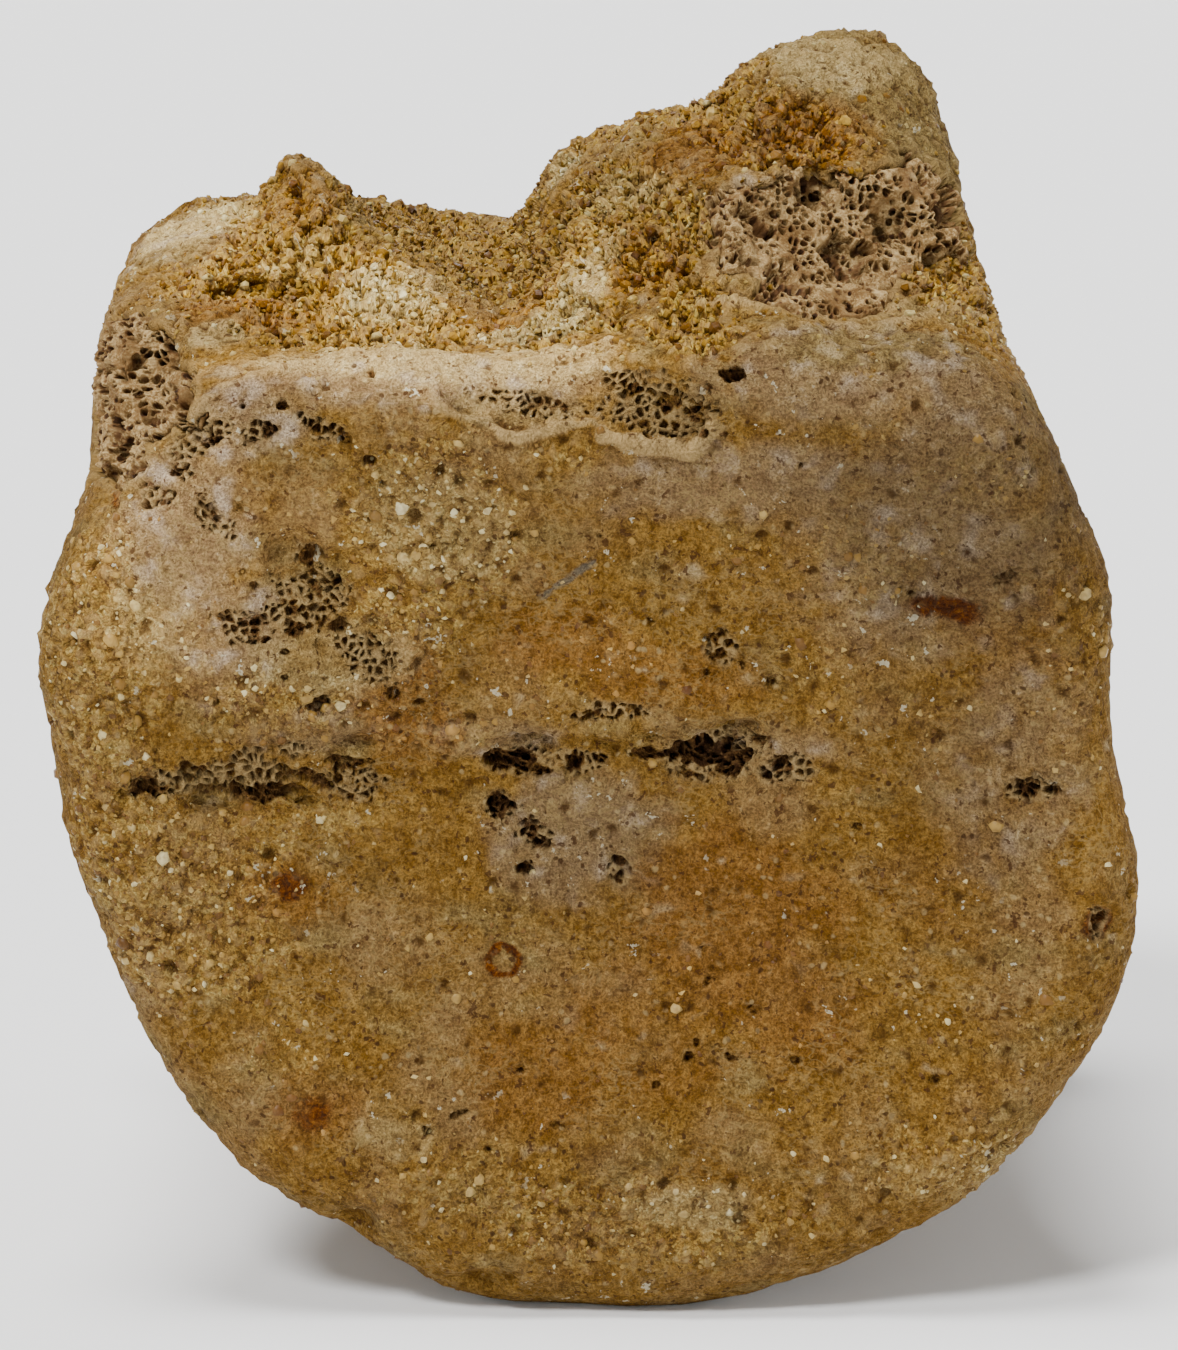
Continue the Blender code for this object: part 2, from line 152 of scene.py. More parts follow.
# Where the bone and its grains are lighter or darker as a whole: partly their own tone, partly painted light
# and shade, such as the painted shade on the right of the face and on the side of the lump.
LIGHTER_AND_LIT = (
    (-27, -30, 51, 6.4, 6, 8, 0.8), (-18, -29, 50, 7, 4, 6, 0.5), (-9, -27.4, 64, 16, 3.6, 2.4, 0.95),
    (-28, -6, 70, 6, 8, 4, 0.7), (0, -28.4, 44, 8, 4, 4, 0.2), (32, -26, 36, 5, 6, 9, 0.3),
    (-13, -18, 67, 8, 8, 5, 0.9), (-24, -14, 68.6, 6, 8, 4, 0.6), (-1, -18, 68, 3.6, 6, 5, 0.6),
)
DARKER_AND_SHADED = (
    (25, -30, 55, 11, 6, 10, 1), (25, -30, 41, 8, 8, 12, 0.45), (23, -6, 74, 4.6, 12, 8, 0.45),
    (16, -29, 61.6, 11, 5, 3.6, 0.5), (2, -12, 72, 9, 10, 5, 0.3), (19, -12, 79, 8, 12, 4, 0.2),
    (3, -30, 7, 14, 5, 4, 0.35), (0, -28, 31.6, 6, 4, 5, 0.4), (-14, -28, 47, 8, 4, 7, 0.25),
    (13, -9, 77, 5.6, 6, 4, 0.45),
)
# Where no sand sticks to the smooth hard bone.
BARE = (
    (17.6, -3.4, 80, 6, 7, 4, 1), (22.4, -5, 75, 4, 9, 8, 0.9), (16, -27.4, 64.4, 10, 3, 1.8, 0.8),
    (-29, -5, 69, 3.6, 6, 4, 0.8),
)

# Spongy bone laid open, as lumps joined to a patch: (x, y, z, half width, half depth, half height).
SPONGY = {
    "spongy_right": (
        (14.6, -17, 70.2, 7.6, 7, 4.4),
        (10.4, -18.6, 72.2, 3.2, 5, 2.6),
        (22.4, -12.4, 71.6, 4.4, 6, 3.6),
        (14.8, -22.6, 67.6, 5.4, 3, 1.5),
    ),
    "spongy_left": (
        (-30.6, -21.6, 61.6, 3.6, 8, 4.6),
        (-28, -25.6, 60.8, 3.8, 5, 2.4),
        (-31, -24.4, 57.6, 3, 6, 2.2),
    ),
}

# Lacework of thin walls and small cells in the front face, flush with it:
# (x, z, half width, half height, turn in degrees).
LACE = (
    (-18.4, 48.4, 2.8, 2.3, -10), (-22.4, 46.7, 2.1, 1.4, 0), (-15, 44.6, 2.4, 1.5, -42),
    (-20, 47.6, 1, 1.6, 0), (-18.6, 51.3, 1.2, 1.1, 0), (-24.4, 54, 1.7, 0.9, -45),
    (-27.2, 36.4, 3.6, 1, 4), (-22.6, 36.6, 3.4, 1.3, 0), (-22.6, 38, 1, 0.8, 0),
    (-15.6, 36, 2.2, 1.4, -10), (-19.6, 38.2, 1, 0.6, 0), (-17.9, 41.4, 0.7, 0.9, 0),
    (-4.7, 37.3, 2.3, 1.1, -3), (-1, 37.4, 1.7, 0.8, 0), (8, 37.6, 3.7, 1.7, 6), (12.6, 36.9, 2.1, 1, 10),
    (-6, 34.2, 1.1, 1.1, 0), (-4, 32.4, 1.2, 1.2, 0), (-4.4, 30.2, 1, 0.6, 0), (4.4, 61.3, 4, 2, -8),
    (-4.4, 61.4, 3.8, 0.85, -6), (1.8, 63.2, 1.4, 0.5, 0), (-17.4, 59.9, 1.9, 0.8, -25),
    (-21.6, 59.8, 1.3, 0.7, 0), (-26.6, 57.2, 1, 0.7, 0), (-28.2, 55.4, 1.4, 0.8, 0),
    (-24.8, 59.6, 1.6, 0.9, 10), (-26.4, 58.6, 1.2, 0.7, 0), (8.4, 44.9, 1.2, 1.3, 30),
    (1.2, 40.9, 2.6, 0.7, 2), (28.8, 36, 1.9, 0.8, 0), (33.2, 27.2, 0.9, 1.1, 0), (1.8, 30, 0.7, 1, 0),
)

# Pits and cracks in the front face: (x, z, half width, half height, depth, turn in degrees).
PITS = (
    (-24.6, 54.3, 1, 0.5, 0.6, -45), (-25.2, 55.6, 0.5, 0.4, 0.7, 0), (-21.9, 49.4, 0.35, 0.4, 0.9, 0),
    (-18.6, 51.4, 0.9, 0.7, 0.9, 0), (-22, 46.4, 1.5, 0.9, 0.5, 0), (-24, 47.3, 0.7, 0.5, 0.8, 0),
    (-16.6, 46.4, 0.8, 0.45, 1.1, -10), (-19.2, 46.4, 0.5, 0.5, 1.1, 0), (-16.9, 49.5, 0.5, 0.6, 0.8, 0),
    (-20, 44.9, 0.4, 0.25, 0.8, 0), (-13, 41.9, 0.5, 0.5, 0.9, 0), (-20.1, 43.1, 0.3, 0.25, 0.8, 0),
    (-17.9, 41.4, 0.5, 0.7, 0.5, 0), (-11.4, 41.4, 0.4, 0.3, 0.7, 0), (-14.4, 45.4, 0.8, 0.7, 0.4, 0),
    (-26.6, 37.4, 0.4, 0.35, 1.1, 0), (-25.6, 37, 0.45, 0.35, 1.1, 0), (-28.6, 35.8, 2, 0.35, 0.6, 2),
    (-24.2, 35.5, 1.9, 0.5, 0.7, -2), (-21.2, 35.3, 2.4, 0.55, 1.1, 4),
    (-18.6, 36.3, 1.5, 0.55, 1.1, -30), (-16, 37.4, 1.5, 0.5, 1, -8), (-5.3, 37.3, 1.7, 0.8, 1.6, -3),
    (-3.6, 36.8, 0.7, 0.4, 1.2, 0), (-1.2, 37.3, 0.8, 0.5, 1.5, 0), (0.4, 37.5, 0.5, 0.3, 0.9, 0),
    (3.6, 37.9, 1.1, 0.55, 1.3, -14), (6.9, 37.9, 2.2, 0.95, 1.7, -6), (9.2, 37.2, 1.6, 0.7, 1.5, 30),
    (12.2, 36.9, 1.1, 0.5, 0.9, 12), (10.9, 38.6, 0.5, 0.4, 0.8, 0), (0, 40.8, 0.6, 0.35, 0.6, 0),
    (2.6, 41.1, 0.6, 0.4, 0.6, 0), (-6, 34.2, 0.75, 0.85, 1.5, 0), (-4.2, 32.7, 0.6, 0.6, 0.8, 0),
    (-3.4, 31.8, 0.5, 0.5, 1, 0), (-4.5, 30.2, 0.7, 0.35, 0.8, 0), (1.8, 30.4, 0.4, 0.4, 0.7, 0),
    (1.7, 29.5, 0.3, 0.3, 0.7, 0), (7.7, 45.7, 0.6, 0.4, 0.8, 0), (8.5, 44.6, 0.4, 0.4, 0.7, 0),
    (9.8, 43.8, 0.3, 0.3, 0.6, 0), (7.4, 43.3, 0.35, 0.3, 0.6, 0), (11.7, 42.7, 0.5, 0.4, 0.8, 0),
    (28.6, 35.9, 0.9, 0.45, 1, 0), (30, 36.1, 0.5, 0.3, 0.8, 0), (27.7, 36.5, 0.35, 0.3, 0.6, 0),
    (33.3, 27.2, 0.5, 0.6, 0.8, 0), (9.1, 63.6, 0.75, 0.55, 1.7, -10), (-20, 61.5, 0.42, 0.42, 1.6, 0),
    (-22.8, 61.5, 0.4, 0.25, 0.8, 40), (-14.4, 57.8, 0.42, 0.4, 1.2, 0), (-17.9, 60, 1.1, 0.5, 0.7, -10),
    (-16.1, 59.2, 0.6, 0.5, 0.8, -30), (-20.9, 59.9, 0.6, 0.3, 0.5, 0), (-22.2, 59, 0.6, 0.25, 0.7, 20),
    (-24.6, 59.2, 0.8, 0.35, 0.8, 10), (-14.4, 63.5, 0.4, 0.35, 0.8, 0), (-17.2, 62.8, 0.3, 0.4, 0.7, 0),
    (-26.8, 57.1, 0.6, 0.4, 0.5, 0), (-27.6, 55.2, 0.45, 0.3, 0.8, -20), (-29, 56.2, 0.25, 0.25, 0.6, 0),
    (5, 61.6, 0.8, 0.7, 0.8, 0), (2.6, 62.4, 0.7, 0.5, 0.9, 0), (6.6, 61, 0.6, 0.6, 0.8, 0),
    (3.2, 60.2, 0.5, 0.4, 0.7, 0), (7, 18.4, 0.3, 0.4, 0.8, 0), (9.2, 17.3, 0.6, 0.3, 0.8, -20),
    (6.4, 17.4, 0.35, 0.3, 0.9, 0), (7.8, 22.4, 0.35, 0.35, 0.6, 0), (10.6, 20.6, 0.5, 0.3, 0.6, -30),
    (13.4, 17.3, 0.5, 0.3, 0.7, 0), (4.2, 15.6, 0.3, 0.3, 0.6, 0), (-8.8, 14, 0.6, 0.25, 0.7, 20),
    (-11, 13.2, 0.45, 0.3, 0.8, -30), (-2.4, 13, 0.5, 0.25, 0.5, 0), (-4.8, 16.6, 0.35, 0.2, 0.7, 0),
    (-7, 11.6, 0.4, 0.25, 0.6, 0), (-10.4, 51.8, 0.3, 0.3, 0.6, 0), (3.8, 47, 0.3, 0.3, 0.6, 0),
    (17.4, 33.2, 0.35, 0.3, 0.7, 0), (-13.6, 56.2, 0.3, 0.25, 0.6, 0), (22.4, 16.4, 0.4, 0.3, 0.6, 0),
    (-24.6, 41.6, 0.3, 0.3, 0.6, 0), (13.6, 57.4, 0.3, 0.3, 0.6, 0), (-28.6, 38.6, 0.3, 0.3, 0.5, 0),
    (0.4, 52.6, 0.3, 0.25, 0.5, 0), (26.8, 50.2, 0.8, 0.5, 0.6, 20), (20.6, 49, 0.3, 0.25, 0.6, 0),
    (30.4, 57, 0.3, 0.3, 0.6, 0),
)

# Thin raised edges of the hard outer bone: (height, width, points along the edge).
EDGES = (
    (0.6, 1, ((7, -24.2, 67.5), (10.9, -24.5, 67.2), (14.8, -24.9, 66.3), (18.7, -25.4, 65.7),
                  (22, -23.6, 66.4), (25.9, -19.7, 65.5))),
    (0.95, 0.8, ((-9.9, -30, 62.2), (-8.6, -29.2, 60.4), (-4.7, -29.3, 59.6), (-0.8, -29.4, 59.9),
                 (3, -29.9, 58.9), (6.3, -29.8, 58.4), (7.9, -30, 59.9), (7.9, -28.9, 61.6),
                 (5.6, -28.7, 63.4))),
    (0.5, 0.6, ((-25.4, -29.3, 61.7), (-20.9, -28.4, 63.5), (-16.4, -26.8, 64.4), (-11.2, -28.4, 64.3),
                 (-7.9, -28.1, 64), (-3.4, -27.6, 64.5), (1.8, -27.9, 65), (6.3, -29.3, 65.2))),
    (0.32, 0.45, ((-22, -29.2, 61.4), (-17, -28.4, 62.7), (-12, -28.8, 62.9), (-8, -28.8, 62.5))),
    (0.28, 0.4, ((-20, -27.6, 65.2), (-14, -26.6, 65.6), (-8, -26.8, 65.4), (-2, -26.6, 65.7))),
    (0.35, 0.5, ((-25.4, -29.3, 61.7), (-26, -30, 59.4), (-24, -30.2, 58.2), (-21, -30.2, 58.6))),
)

# A rust ring in the front face, (middle, radius), and a grey scratch from end to end.
RING = ((-5.9, 0.0, 23.9), 0.95)
SCRATCH = ((-3.3, 0.0, 48.6), (0.1, 0.0, 51.0))

EVEN = (1.0, 1.0, 1.0)
STILL = (0.0, 0.0, 0.0)
# Broad noise for stains, and for where the painted holes and flecks lie, kept on the points of the skin:
# (name, scale, detail, roughness, stretch, shift).
STAIN_NOISE = (
    ("broad", 0.16, 3.0, 0.55, EVEN, STILL),
    ("drift", 0.28, 4.0, 0.6, (0.6, 0.6, 1.2), STILL),
    ("mixing", 0.5, 5.0, 0.65, EVEN, STILL),
    ("rusting", 0.6, 4.0, 0.6, EVEN, STILL),
    ("paling", 0.9, 3.0, 0.5, EVEN, STILL),
    ("wisp", 0.75, 5.0, 0.7, (0.5, 0.6, 1.0), STILL),
    ("rosy", 0.55, 4.0, 0.65, EVEN, STILL),
    ("grain", 1.0, 2.0, 0.65, (1.3, 0.16, 1.3), STILL),
    ("dark_where", 0.35, 1.0, 0.5, EVEN, STILL),
    ("crazed_where", 0.2, 1.0, 0.5, EVEN, STILL),
    ("pinhole_where", 0.45, 2.0, 0.5, EVEN, STILL),
    ("white_where", 0.22, 1.0, 0.5, EVEN, (5.0, 3.0, 1.0)),
    ("light_where", 0.3, 1.0, 0.5, EVEN, STILL),
)

# Pieces of sand: (name, painted share, shapes, grains for each mm2, spacing, smallest, largest,
# sharpness, lift), with sizes in mm.
SAND_PIECES = (
    ("sand_crown_coarse", "crown_sand", "coarse", 3.0, 0.46, 0.45, 1.0, 1.0, -0.2),
    ("sand_crown_fine", "crown_sand", "small", 3.6, 0.34, 0.3, 0.5, 1.0, -0.1),
    ("sand_body_coarse", "body_sand", "coarse", 3.2, 0.55, 0.6, 1.2, 1.6, -0.3),
    ("sand_body_fine", "body_sand", "small", 2.4, 0.36, 0.3, 0.55, 2.0, -0.2),
)

# Heights in mm between which the face gives way to the crown.
CROWN_LOW = 62.0
CROWN_HIGH = 66.0

# The floor is a wide bowl, in metres: (radius of the flat, radius of the bend, height of the wall).
FLOOR = (3.0, 1.5, 1.0)
FLOOR_CORNERS = 96
BEND_STEPS = 12
WORLD_STRENGTH = 0.13
# Lamps: (name, direction towards the lamp, spread in degrees, strength).
LAMPS = (
    ("key", (-0.28, -0.42, 0.62), 14, 2.9),
    ("fill", (0.6, -0.6, 0.21), 40, 0.45),
    ("top", (-0.1, -0.05, 0.76), 22, 3.6),
    ("rear", (0.3, 0.8, 0.4), 40, 0.9),
)
CAMERA_TARGET = (-0.25, 0.0, 37.34)
LENS = 163.7
SENSOR = 36.0


class Graph:
    """Writes a node tree as nested calls. Nodes are laid out in columns, in the order they are made."""

    COLUMN = 12
    STEP_X = 220
    STEP_Y = -180

    def __init__(self, tree):
        self.tree = tree
        self.made = 0

    def node(self, kind, inputs=None, **settings):
        node = self.tree.nodes.new(kind)
        node.location = (self.STEP_X * (self.made // self.COLUMN), self.STEP_Y * (self.made % self.COLUMN))
        self.made += 1
        for name, value in settings.items():
            setattr(node, name, value)
        for name, value in (inputs or {}).items():
            self.feed(node, name, value)
        return node

    def feed(self, node, name, value):
        socket = node.inputs[name] if isinstance(name, int) else next(
            s for s in node.inputs if s.name == name and s.enabled)
        if isinstance(value, bpy.types.NodeSocket):
            self.tree.links.new(value, socket)
        else:
            socket.default_value = value

    def out(self, kind, inputs=None, output=0, **settings):
        node = self.node(kind, inputs, **settings)
        shown = [s for s in node.outputs if s.enabled]
        if isinstance(output, int):
            return shown[output]
        return next(s for s in shown if s.name == output)

    def math(self, operation, *values):
        return self.out("ShaderNodeMath", dict(enumerate(values)), operation=operation)

    def add(self, first, *rest):
        for value in rest:
            first = self.math("ADD", first, value)
        return first

    def times(self, first, *rest):
        for value in rest:
            first = self.math("MULTIPLY", first, value)
        return first

    def least(self, first, *rest):
        for value in rest:
            first = self.math("MINIMUM", first, value)
        return first

    def vector(self, operation, *values, **named):
        inputs = dict(enumerate(values))
        inputs.update(named)
        output = "Value" if operation in ("LENGTH", "DOT_PRODUCT", "DISTANCE") else "Vector"
        return self.out("ShaderNodeVectorMath", inputs, output, operation=operation)

    def scaled(self, value, factor, plus):
        """A value times a factor, plus another."""
        return self.math("MULTIPLY_ADD", value, factor, plus)

    def part(self, vector, axis=0):
        """One of the three numbers of a vector."""
        return self.out("ShaderNodeSeparateXYZ", {0: vector}, axis)

    def stretched(self, place, *factors):
        """A place stretched along the axes."""
        return self.vector("MULTIPLY", place, factors)

    def ramp(self, value, low, high, to_low=0.0, to_high=1.0):
        """A smooth step of value from low to high."""
        return self.out("ShaderNodeMapRange", {0: value, 1: low, 2: high, 3: to_low, 4: to_high},
                        interpolation_type="SMOOTHSTEP")

    def blend(self, factor, first, second, mode="MIX"):
        """Two colours mixed. A colour is a socket or three numbers."""
        first, second = ((*c, 1.0) if isinstance(c, tuple) else c for c in (first, second))
        return self.out("ShaderNodeMix", {"Factor": factor, "A": first, "B": second},
                        data_type="RGBA", blend_type=mode)

    def layers(self, colour, *rows):
        """Colours laid over one another: (mask, low, high, strength, colour) for each."""
        for mask, low, high, strength, over in rows:
            colour = self.blend(self.ramp(mask, low, high, 0.0, strength), colour, over)
        return colour

    def near_stretch(self, place, start, end):
        """The distance from a place to a straight stretch."""
        start, end = Vector(start), Vector(end)
        along = end - start
        share = self.vector("DOT_PRODUCT", self.vector("SUBTRACT", place, tuple(start)),
                            tuple(along / along.length_squared))
        share = self.least(self.math("MAXIMUM", share, 0.0), 1.0)
        nearest = self.vector("ADD", self.vector("SCALE", tuple(along), Scale=share), tuple(start))
        return self.vector("DISTANCE", place, nearest)

    def noise(self, place, scale, detail=2.0, roughness=0.5, output=0, **extra):
        inputs = {"Vector": place, "Scale": scale, "Detail": detail, "Roughness": roughness}
        inputs.update(extra)
        return self.out("ShaderNodeTexNoise", inputs, output)

    def swing(self, place, scale, detail=2.0, roughness=0.5):
        """Noise from about -1 to 1."""
        return self.scaled(self.noise(place, scale, detail, roughness), 2.0, -1.0)

    def cells(self, place, scale, feature="F1", output=0, randomness=1.0, **extra):
        inputs = {"Vector": place, "Scale": scale, "Randomness": randomness}
        inputs.update(extra)
        return self.out("ShaderNodeTexVoronoi", inputs, output, feature=feature)

    def colours(self, value, *stops):
        """A colour ramp: (place, colour) pairs."""
        node = self.node("ShaderNodeValToRGB", {0: value})
        marks = node.color_ramp.elements
        while len(marks) < len(stops):
            marks.new(0.5)
        for mark, (place, colour) in zip(marks, stops):
            mark.position = place
            mark.color = (*colour, 1.0)
        return node.outputs[0]

    def attribute(self, name, kind="FLOAT"):
        """A named attribute, in geometry nodes."""
        return self.out("GeometryNodeInputNamedAttribute", {"Name": name}, data_type=kind)

    def painted(self, name, output="Fac"):
        """A named attribute, in a material."""
        return self.out("ShaderNodeAttribute", None, output, attribute_name=name)

    def swung(self, name):
        """A kept noise from about -1 to 1, in a material."""
        return self.scaled(self.painted(name), 2.0, -1.0)

    def bump(self, surface, strength, distance, height):
        """Fine relief on a surface, with its distance in mm."""
        self.feed(surface, "Normal", self.out("ShaderNodeBump", {
            "Strength": strength, "Distance": distance * MM, "Height": height}))

    def store(self, geometry, name, value, kind="FLOAT", domain="POINT"):
        """Keeps a value as a named attribute, in geometry nodes."""
        inputs = {"Geometry": geometry, "Name": name, "Value": value}
        return self.out("GeometryNodeStoreNamedAttribute", inputs, data_type=kind, domain=domain)

    def blurred(self, value, rounds, weight=1.0):
        """A vector averaged with its neighbours."""
        return self.out("GeometryNodeBlurAttribute", {"Value": value, "Iterations": rounds, "Weight": weight},
                        data_type="FLOAT_VECTOR")

    def moved(self, geometry, **where):
        """Points moved to a Position or by an Offset."""
        return self.out("GeometryNodeSetPosition", {"Geometry": geometry, **where})


def new_tree(name, inputs):
    """A geometry node tree with named inputs: (name, socket kind, default)."""
    tree = bpy.data.node_groups.new(name, "GeometryNodeTree")
    tree.interface.new_socket("Geometry", in_out="INPUT", socket_type="NodeSocketGeometry")
    for label, kind, default in inputs:
        socket = tree.interface.new_socket(label, in_out="INPUT", socket_type="NodeSocket" + kind)
        if default is not None:
            socket.default_value = default
    tree.interface.new_socket("Geometry", in_out="OUTPUT", socket_type="NodeSocketGeometry")
    graph = Graph(tree)
    start = graph.node("NodeGroupInput")
    return graph, start.outputs


def end_tree(graph, geometry, material=None):
    """Ends a tree in Realize Instances and Set Material."""
    geometry = graph.out("GeometryNodeRealizeInstances", {"Geometry": geometry})
    geometry = graph.out("GeometryNodeSetMaterial", {"Geometry": geometry, "Material": material})
    graph.node("NodeGroupOutput", {0: geometry})
    return graph.tree


def add_nodes(thing, tree, values):
    """Puts a node tree on an object and sets its inputs by their identifiers."""
    modifier = thing.modifiers.new(tree.name, "NODES")
    modifier.node_group = tree
    for item in tree.interface.items_tree:
        if item.item_type == "SOCKET" and item.in_out == "INPUT" and item.name in values:
            modifier[item.identifier] = values[item.name]
    return modifier


def new_object(name, mesh):
    """A new object in the scene."""
    thing = bpy.data.objects.new(name, mesh)
    bpy.context.scene.collection.objects.link(thing)
    return thing


def settled(thing):
    """The object's mesh with all its modifiers applied. The modifiers are removed."""
    bpy.context.view_layer.update()
    seen = thing.evaluated_get(bpy.context.evaluated_depsgraph_get())
    mesh = bpy.data.meshes.new_from_object(seen)
    thing.modifiers.clear()
    old = thing.data
    thing.data = mesh
    mesh.name = thing.name
    if old.users == 0:
        bpy.data.meshes.remove(old)
    return thing


def discard(thing):
    """Removes an object and its mesh."""
    mesh = thing.data
    bpy.data.objects.remove(thing)
    if mesh and mesh.users == 0:
        bpy.data.meshes.remove(mesh)


def thin_out(thing, most, group=None, care=0.0):
    """Brings a piece down to a number of triangles, fewest where the vertex group is strong."""
    count = sum(len(face.vertices) - 2 for face in thing.data.polygons)
    thin = thing.modifiers.new("thin", "DECIMATE")
    thin.ratio = min(1.0, most / count)
    if group:
        thin.vertex_group = group
        thin.vertex_group_factor = care
    settled(thing)


def points_of(mesh):
    """The places of the mesh's points, one row for each."""
    places = np.empty(len(mesh.vertices) * 3, np.float32)
    mesh.vertices.foreach_get("co", places)
    return places.reshape(-1, 3)


def paint(mesh, name, values):
    """Stores one number for each point of the mesh."""
    attribute = mesh.attributes.get(name) or mesh.attributes.new(name, "FLOAT", "POINT")
    attribute.data.foreach_set("value", np.ascontiguousarray(values, np.float32))


def read(mesh, name):
    """The number stored for each point of the mesh."""
    values = np.empty(len(mesh.vertices), np.float32)
    mesh.attributes[name].data.foreach_get("value", values)
    return values


def ragged(points, size, seed):
    """Noise from about -1 to 1 at each point, with forms of the given size in mm."""
    shift = Vector((seed * 17.3, seed * 5.1, -seed * 11.7))
    return np.array([noise.fractal(Vector(p) / size + shift, 0.9, 2.1, 3) for p in points.tolist()])


def smooth_step(values, low, high):
    """0 below low, 1 above high, and a smooth step between."""
    t = np.clip((values - low) / (high - low), 0, 1)
    return t * t * (3 - 2 * t)


def patch_reach(points, lobes, wobble):
    """How far each point lies from the middle of a patch of lobes: 1 is its ragged edge."""
    table = np.array(lobes)
    return np.min([np.sqrt((((points - row[:3]) / row[3:6]) ** 2).sum(1)) for row in table], 0) + 0.3 * wobble


def patch_mask(points, patches, wobble, edge=0.35):
    """How strongly each point is covered by the patches, which have ragged soft edges."""
    mask = np.zeros(len(points))
    for x, y, z, wide, deep, high, strength in patches:
        reach = np.sqrt((((points - (x, y, z)) / (wide, deep, high)) ** 2).sum(1))
        mask = np.maximum(mask, strength * (1 - smooth_step(reach + 0.35 * wobble, 1 - edge, 1 + edge)))
    return mask


def near_line(points, line):
    """The distance from each point to a line of straight stretches."""
    best = np.full(len(points), 1e9)
    for start, end in zip(line, line[1:]):
        start = np.array(start)
        along = np.array(end) - start
        share = np.clip((points - start) @ along / (along @ along), 0, 1)
        best = np.minimum(best, np.linalg.norm(points - start - share[:, None] * along, axis=1))
    return best


def bone_skin(voxel):
    """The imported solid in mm, as an even fine skin."""
    mesh = frame["nodes"][NODE].data.copy()
    mesh.transform(Matrix.Scale(1 / MM, 4))
    work = bmesh.new()
    work.from_mesh(mesh)
    bmesh.ops.remove_doubles(work, verts=work.verts, dist=0.001)
    work.to_mesh(mesh)
    work.free()
    mesh.materials.clear()
    skin = new_object("skin", mesh)
    remesh = skin.modifiers.new("even", "REMESH")
    remesh.mode = "VOXEL"
    remesh.voxel_size = voxel
    return settled(skin)


def smoothing_tree():
    """Rounds off the facets of the solid, and stretches a smooth skin over the pits that are made anew."""
    graph, start = new_tree("Rounded skin", (("Rounds", "Int", 10), ("Fill rounds", "Int", 200)))
    body = start["Geometry"]
    for rounds, weight in (("Rounds", 1.0), ("Fill rounds", graph.attribute("fill"))):
        soft = graph.blurred(graph.out("GeometryNodeInputPosition"), start[rounds], weight)
        body = graph.moved(body, Position=soft)
    return end_tree(graph, body)


def turned_reach(spots, x, z, wide, high, turn):
    """How far each (x, z) spot lies from the middle of a turned ellipse: 1 is its edge."""
    turn = math.radians(turn)
    across = (spots[:, 0] - x) * math.cos(turn) + (spots[:, 1] - z) * math.sin(turn)
    up = (spots[:, 1] - z) * math.cos(turn) - (spots[:, 0] - x) * math.sin(turn)
    return np.hypot(across / wide, up / high)


def near_pits(points, margin):
    """True where a point of the front face lies within a margin in mm of the pits and lacework."""
    front = points[:, 1] < FRONT_FACE
    spots = points[front][:, (0, 2)]
    found = np.zeros(len(spots), bool)
    for x, z, wide, high, *_, turn in (*LACE, *PITS):
        found |= turned_reach(spots, x, z, wide + margin, high + margin, turn) < 1
    near = np.zeros(len(points), bool)
    near[front] = found
    return near


def refine(mesh, chosen, cuts):
    """Divides the chosen faces of a mesh, so that they hold finer forms."""
    work = bmesh.new()
    work.from_mesh(mesh)
    work.faces.ensure_lookup_table()
    edges = set()
    for index in np.nonzero(chosen)[0].tolist():
        edges.update(work.faces[index].edges)
    bmesh.ops.subdivide_edges(work, edges=list(edges), cuts=cuts, use_grid_fill=True)
    bmesh.ops.triangulate(work, faces=[face for face in work.faces if len(face.verts) > 4])
    work.to_mesh(mesh)
    work.free()


def keep_rest(mesh):
    """Stores where the points lie before they are moved, for the patterns of the materials."""
    rest = mesh.attributes.new("rest", "FLOAT_VECTOR", "POINT")
    rest.data.foreach_set("vector", points_of(mesh).ravel())


def centres_of(mesh):
    """The middles of the mesh's faces, one row for each."""
    centres = np.empty(len(mesh.polygons) * 3, np.float32)
    mesh.polygons.foreach_get("center", centres)
    return centres.reshape(-1, 3)


def slab(name, mesh, kept, thickness):
    """A closed slab: the kept faces of a mesh on top, the same faces turned over below, and a rim."""
    normals = np.empty(len(mesh.vertices) * 3, np.float32)
    mesh.vertices.foreach_get("normal", normals)
    faces = [tuple(face.vertices) for face, keep in zip(mesh.polygons, kept.tolist()) if keep]
    used = sorted({corner for face in faces for corner in face})
    number = {corner: place for place, corner in enumerate(used)}
    top = [[number[corner] for corner in face] for face in faces]
    points = points_of(mesh)[used]
    below = points - thickness * normals.reshape(-1, 3)[used]
    count = len(used)
    sides = {(a, b) for face in top for a, b in zip(face, face[1:] + face[:1])}
    rim = [(b, a, a + count, b + count) for a, b in sides if (b, a) not in sides]
    bottom = [[corner + count for corner in reversed(face)] for face in top]
    new = bpy.data.meshes.new(name)
    new.from_pydata(np.concatenate([points, below]).tolist(), [], top + bottom + rim)
    refine(new, np.arange(len(new.polygons)) < len(top), 4)
    outer = np.ones(len(new.vertices))
    outer[count:2 * count] = 0
    paint(new, "outer", outer)
    return new_object(name, new)


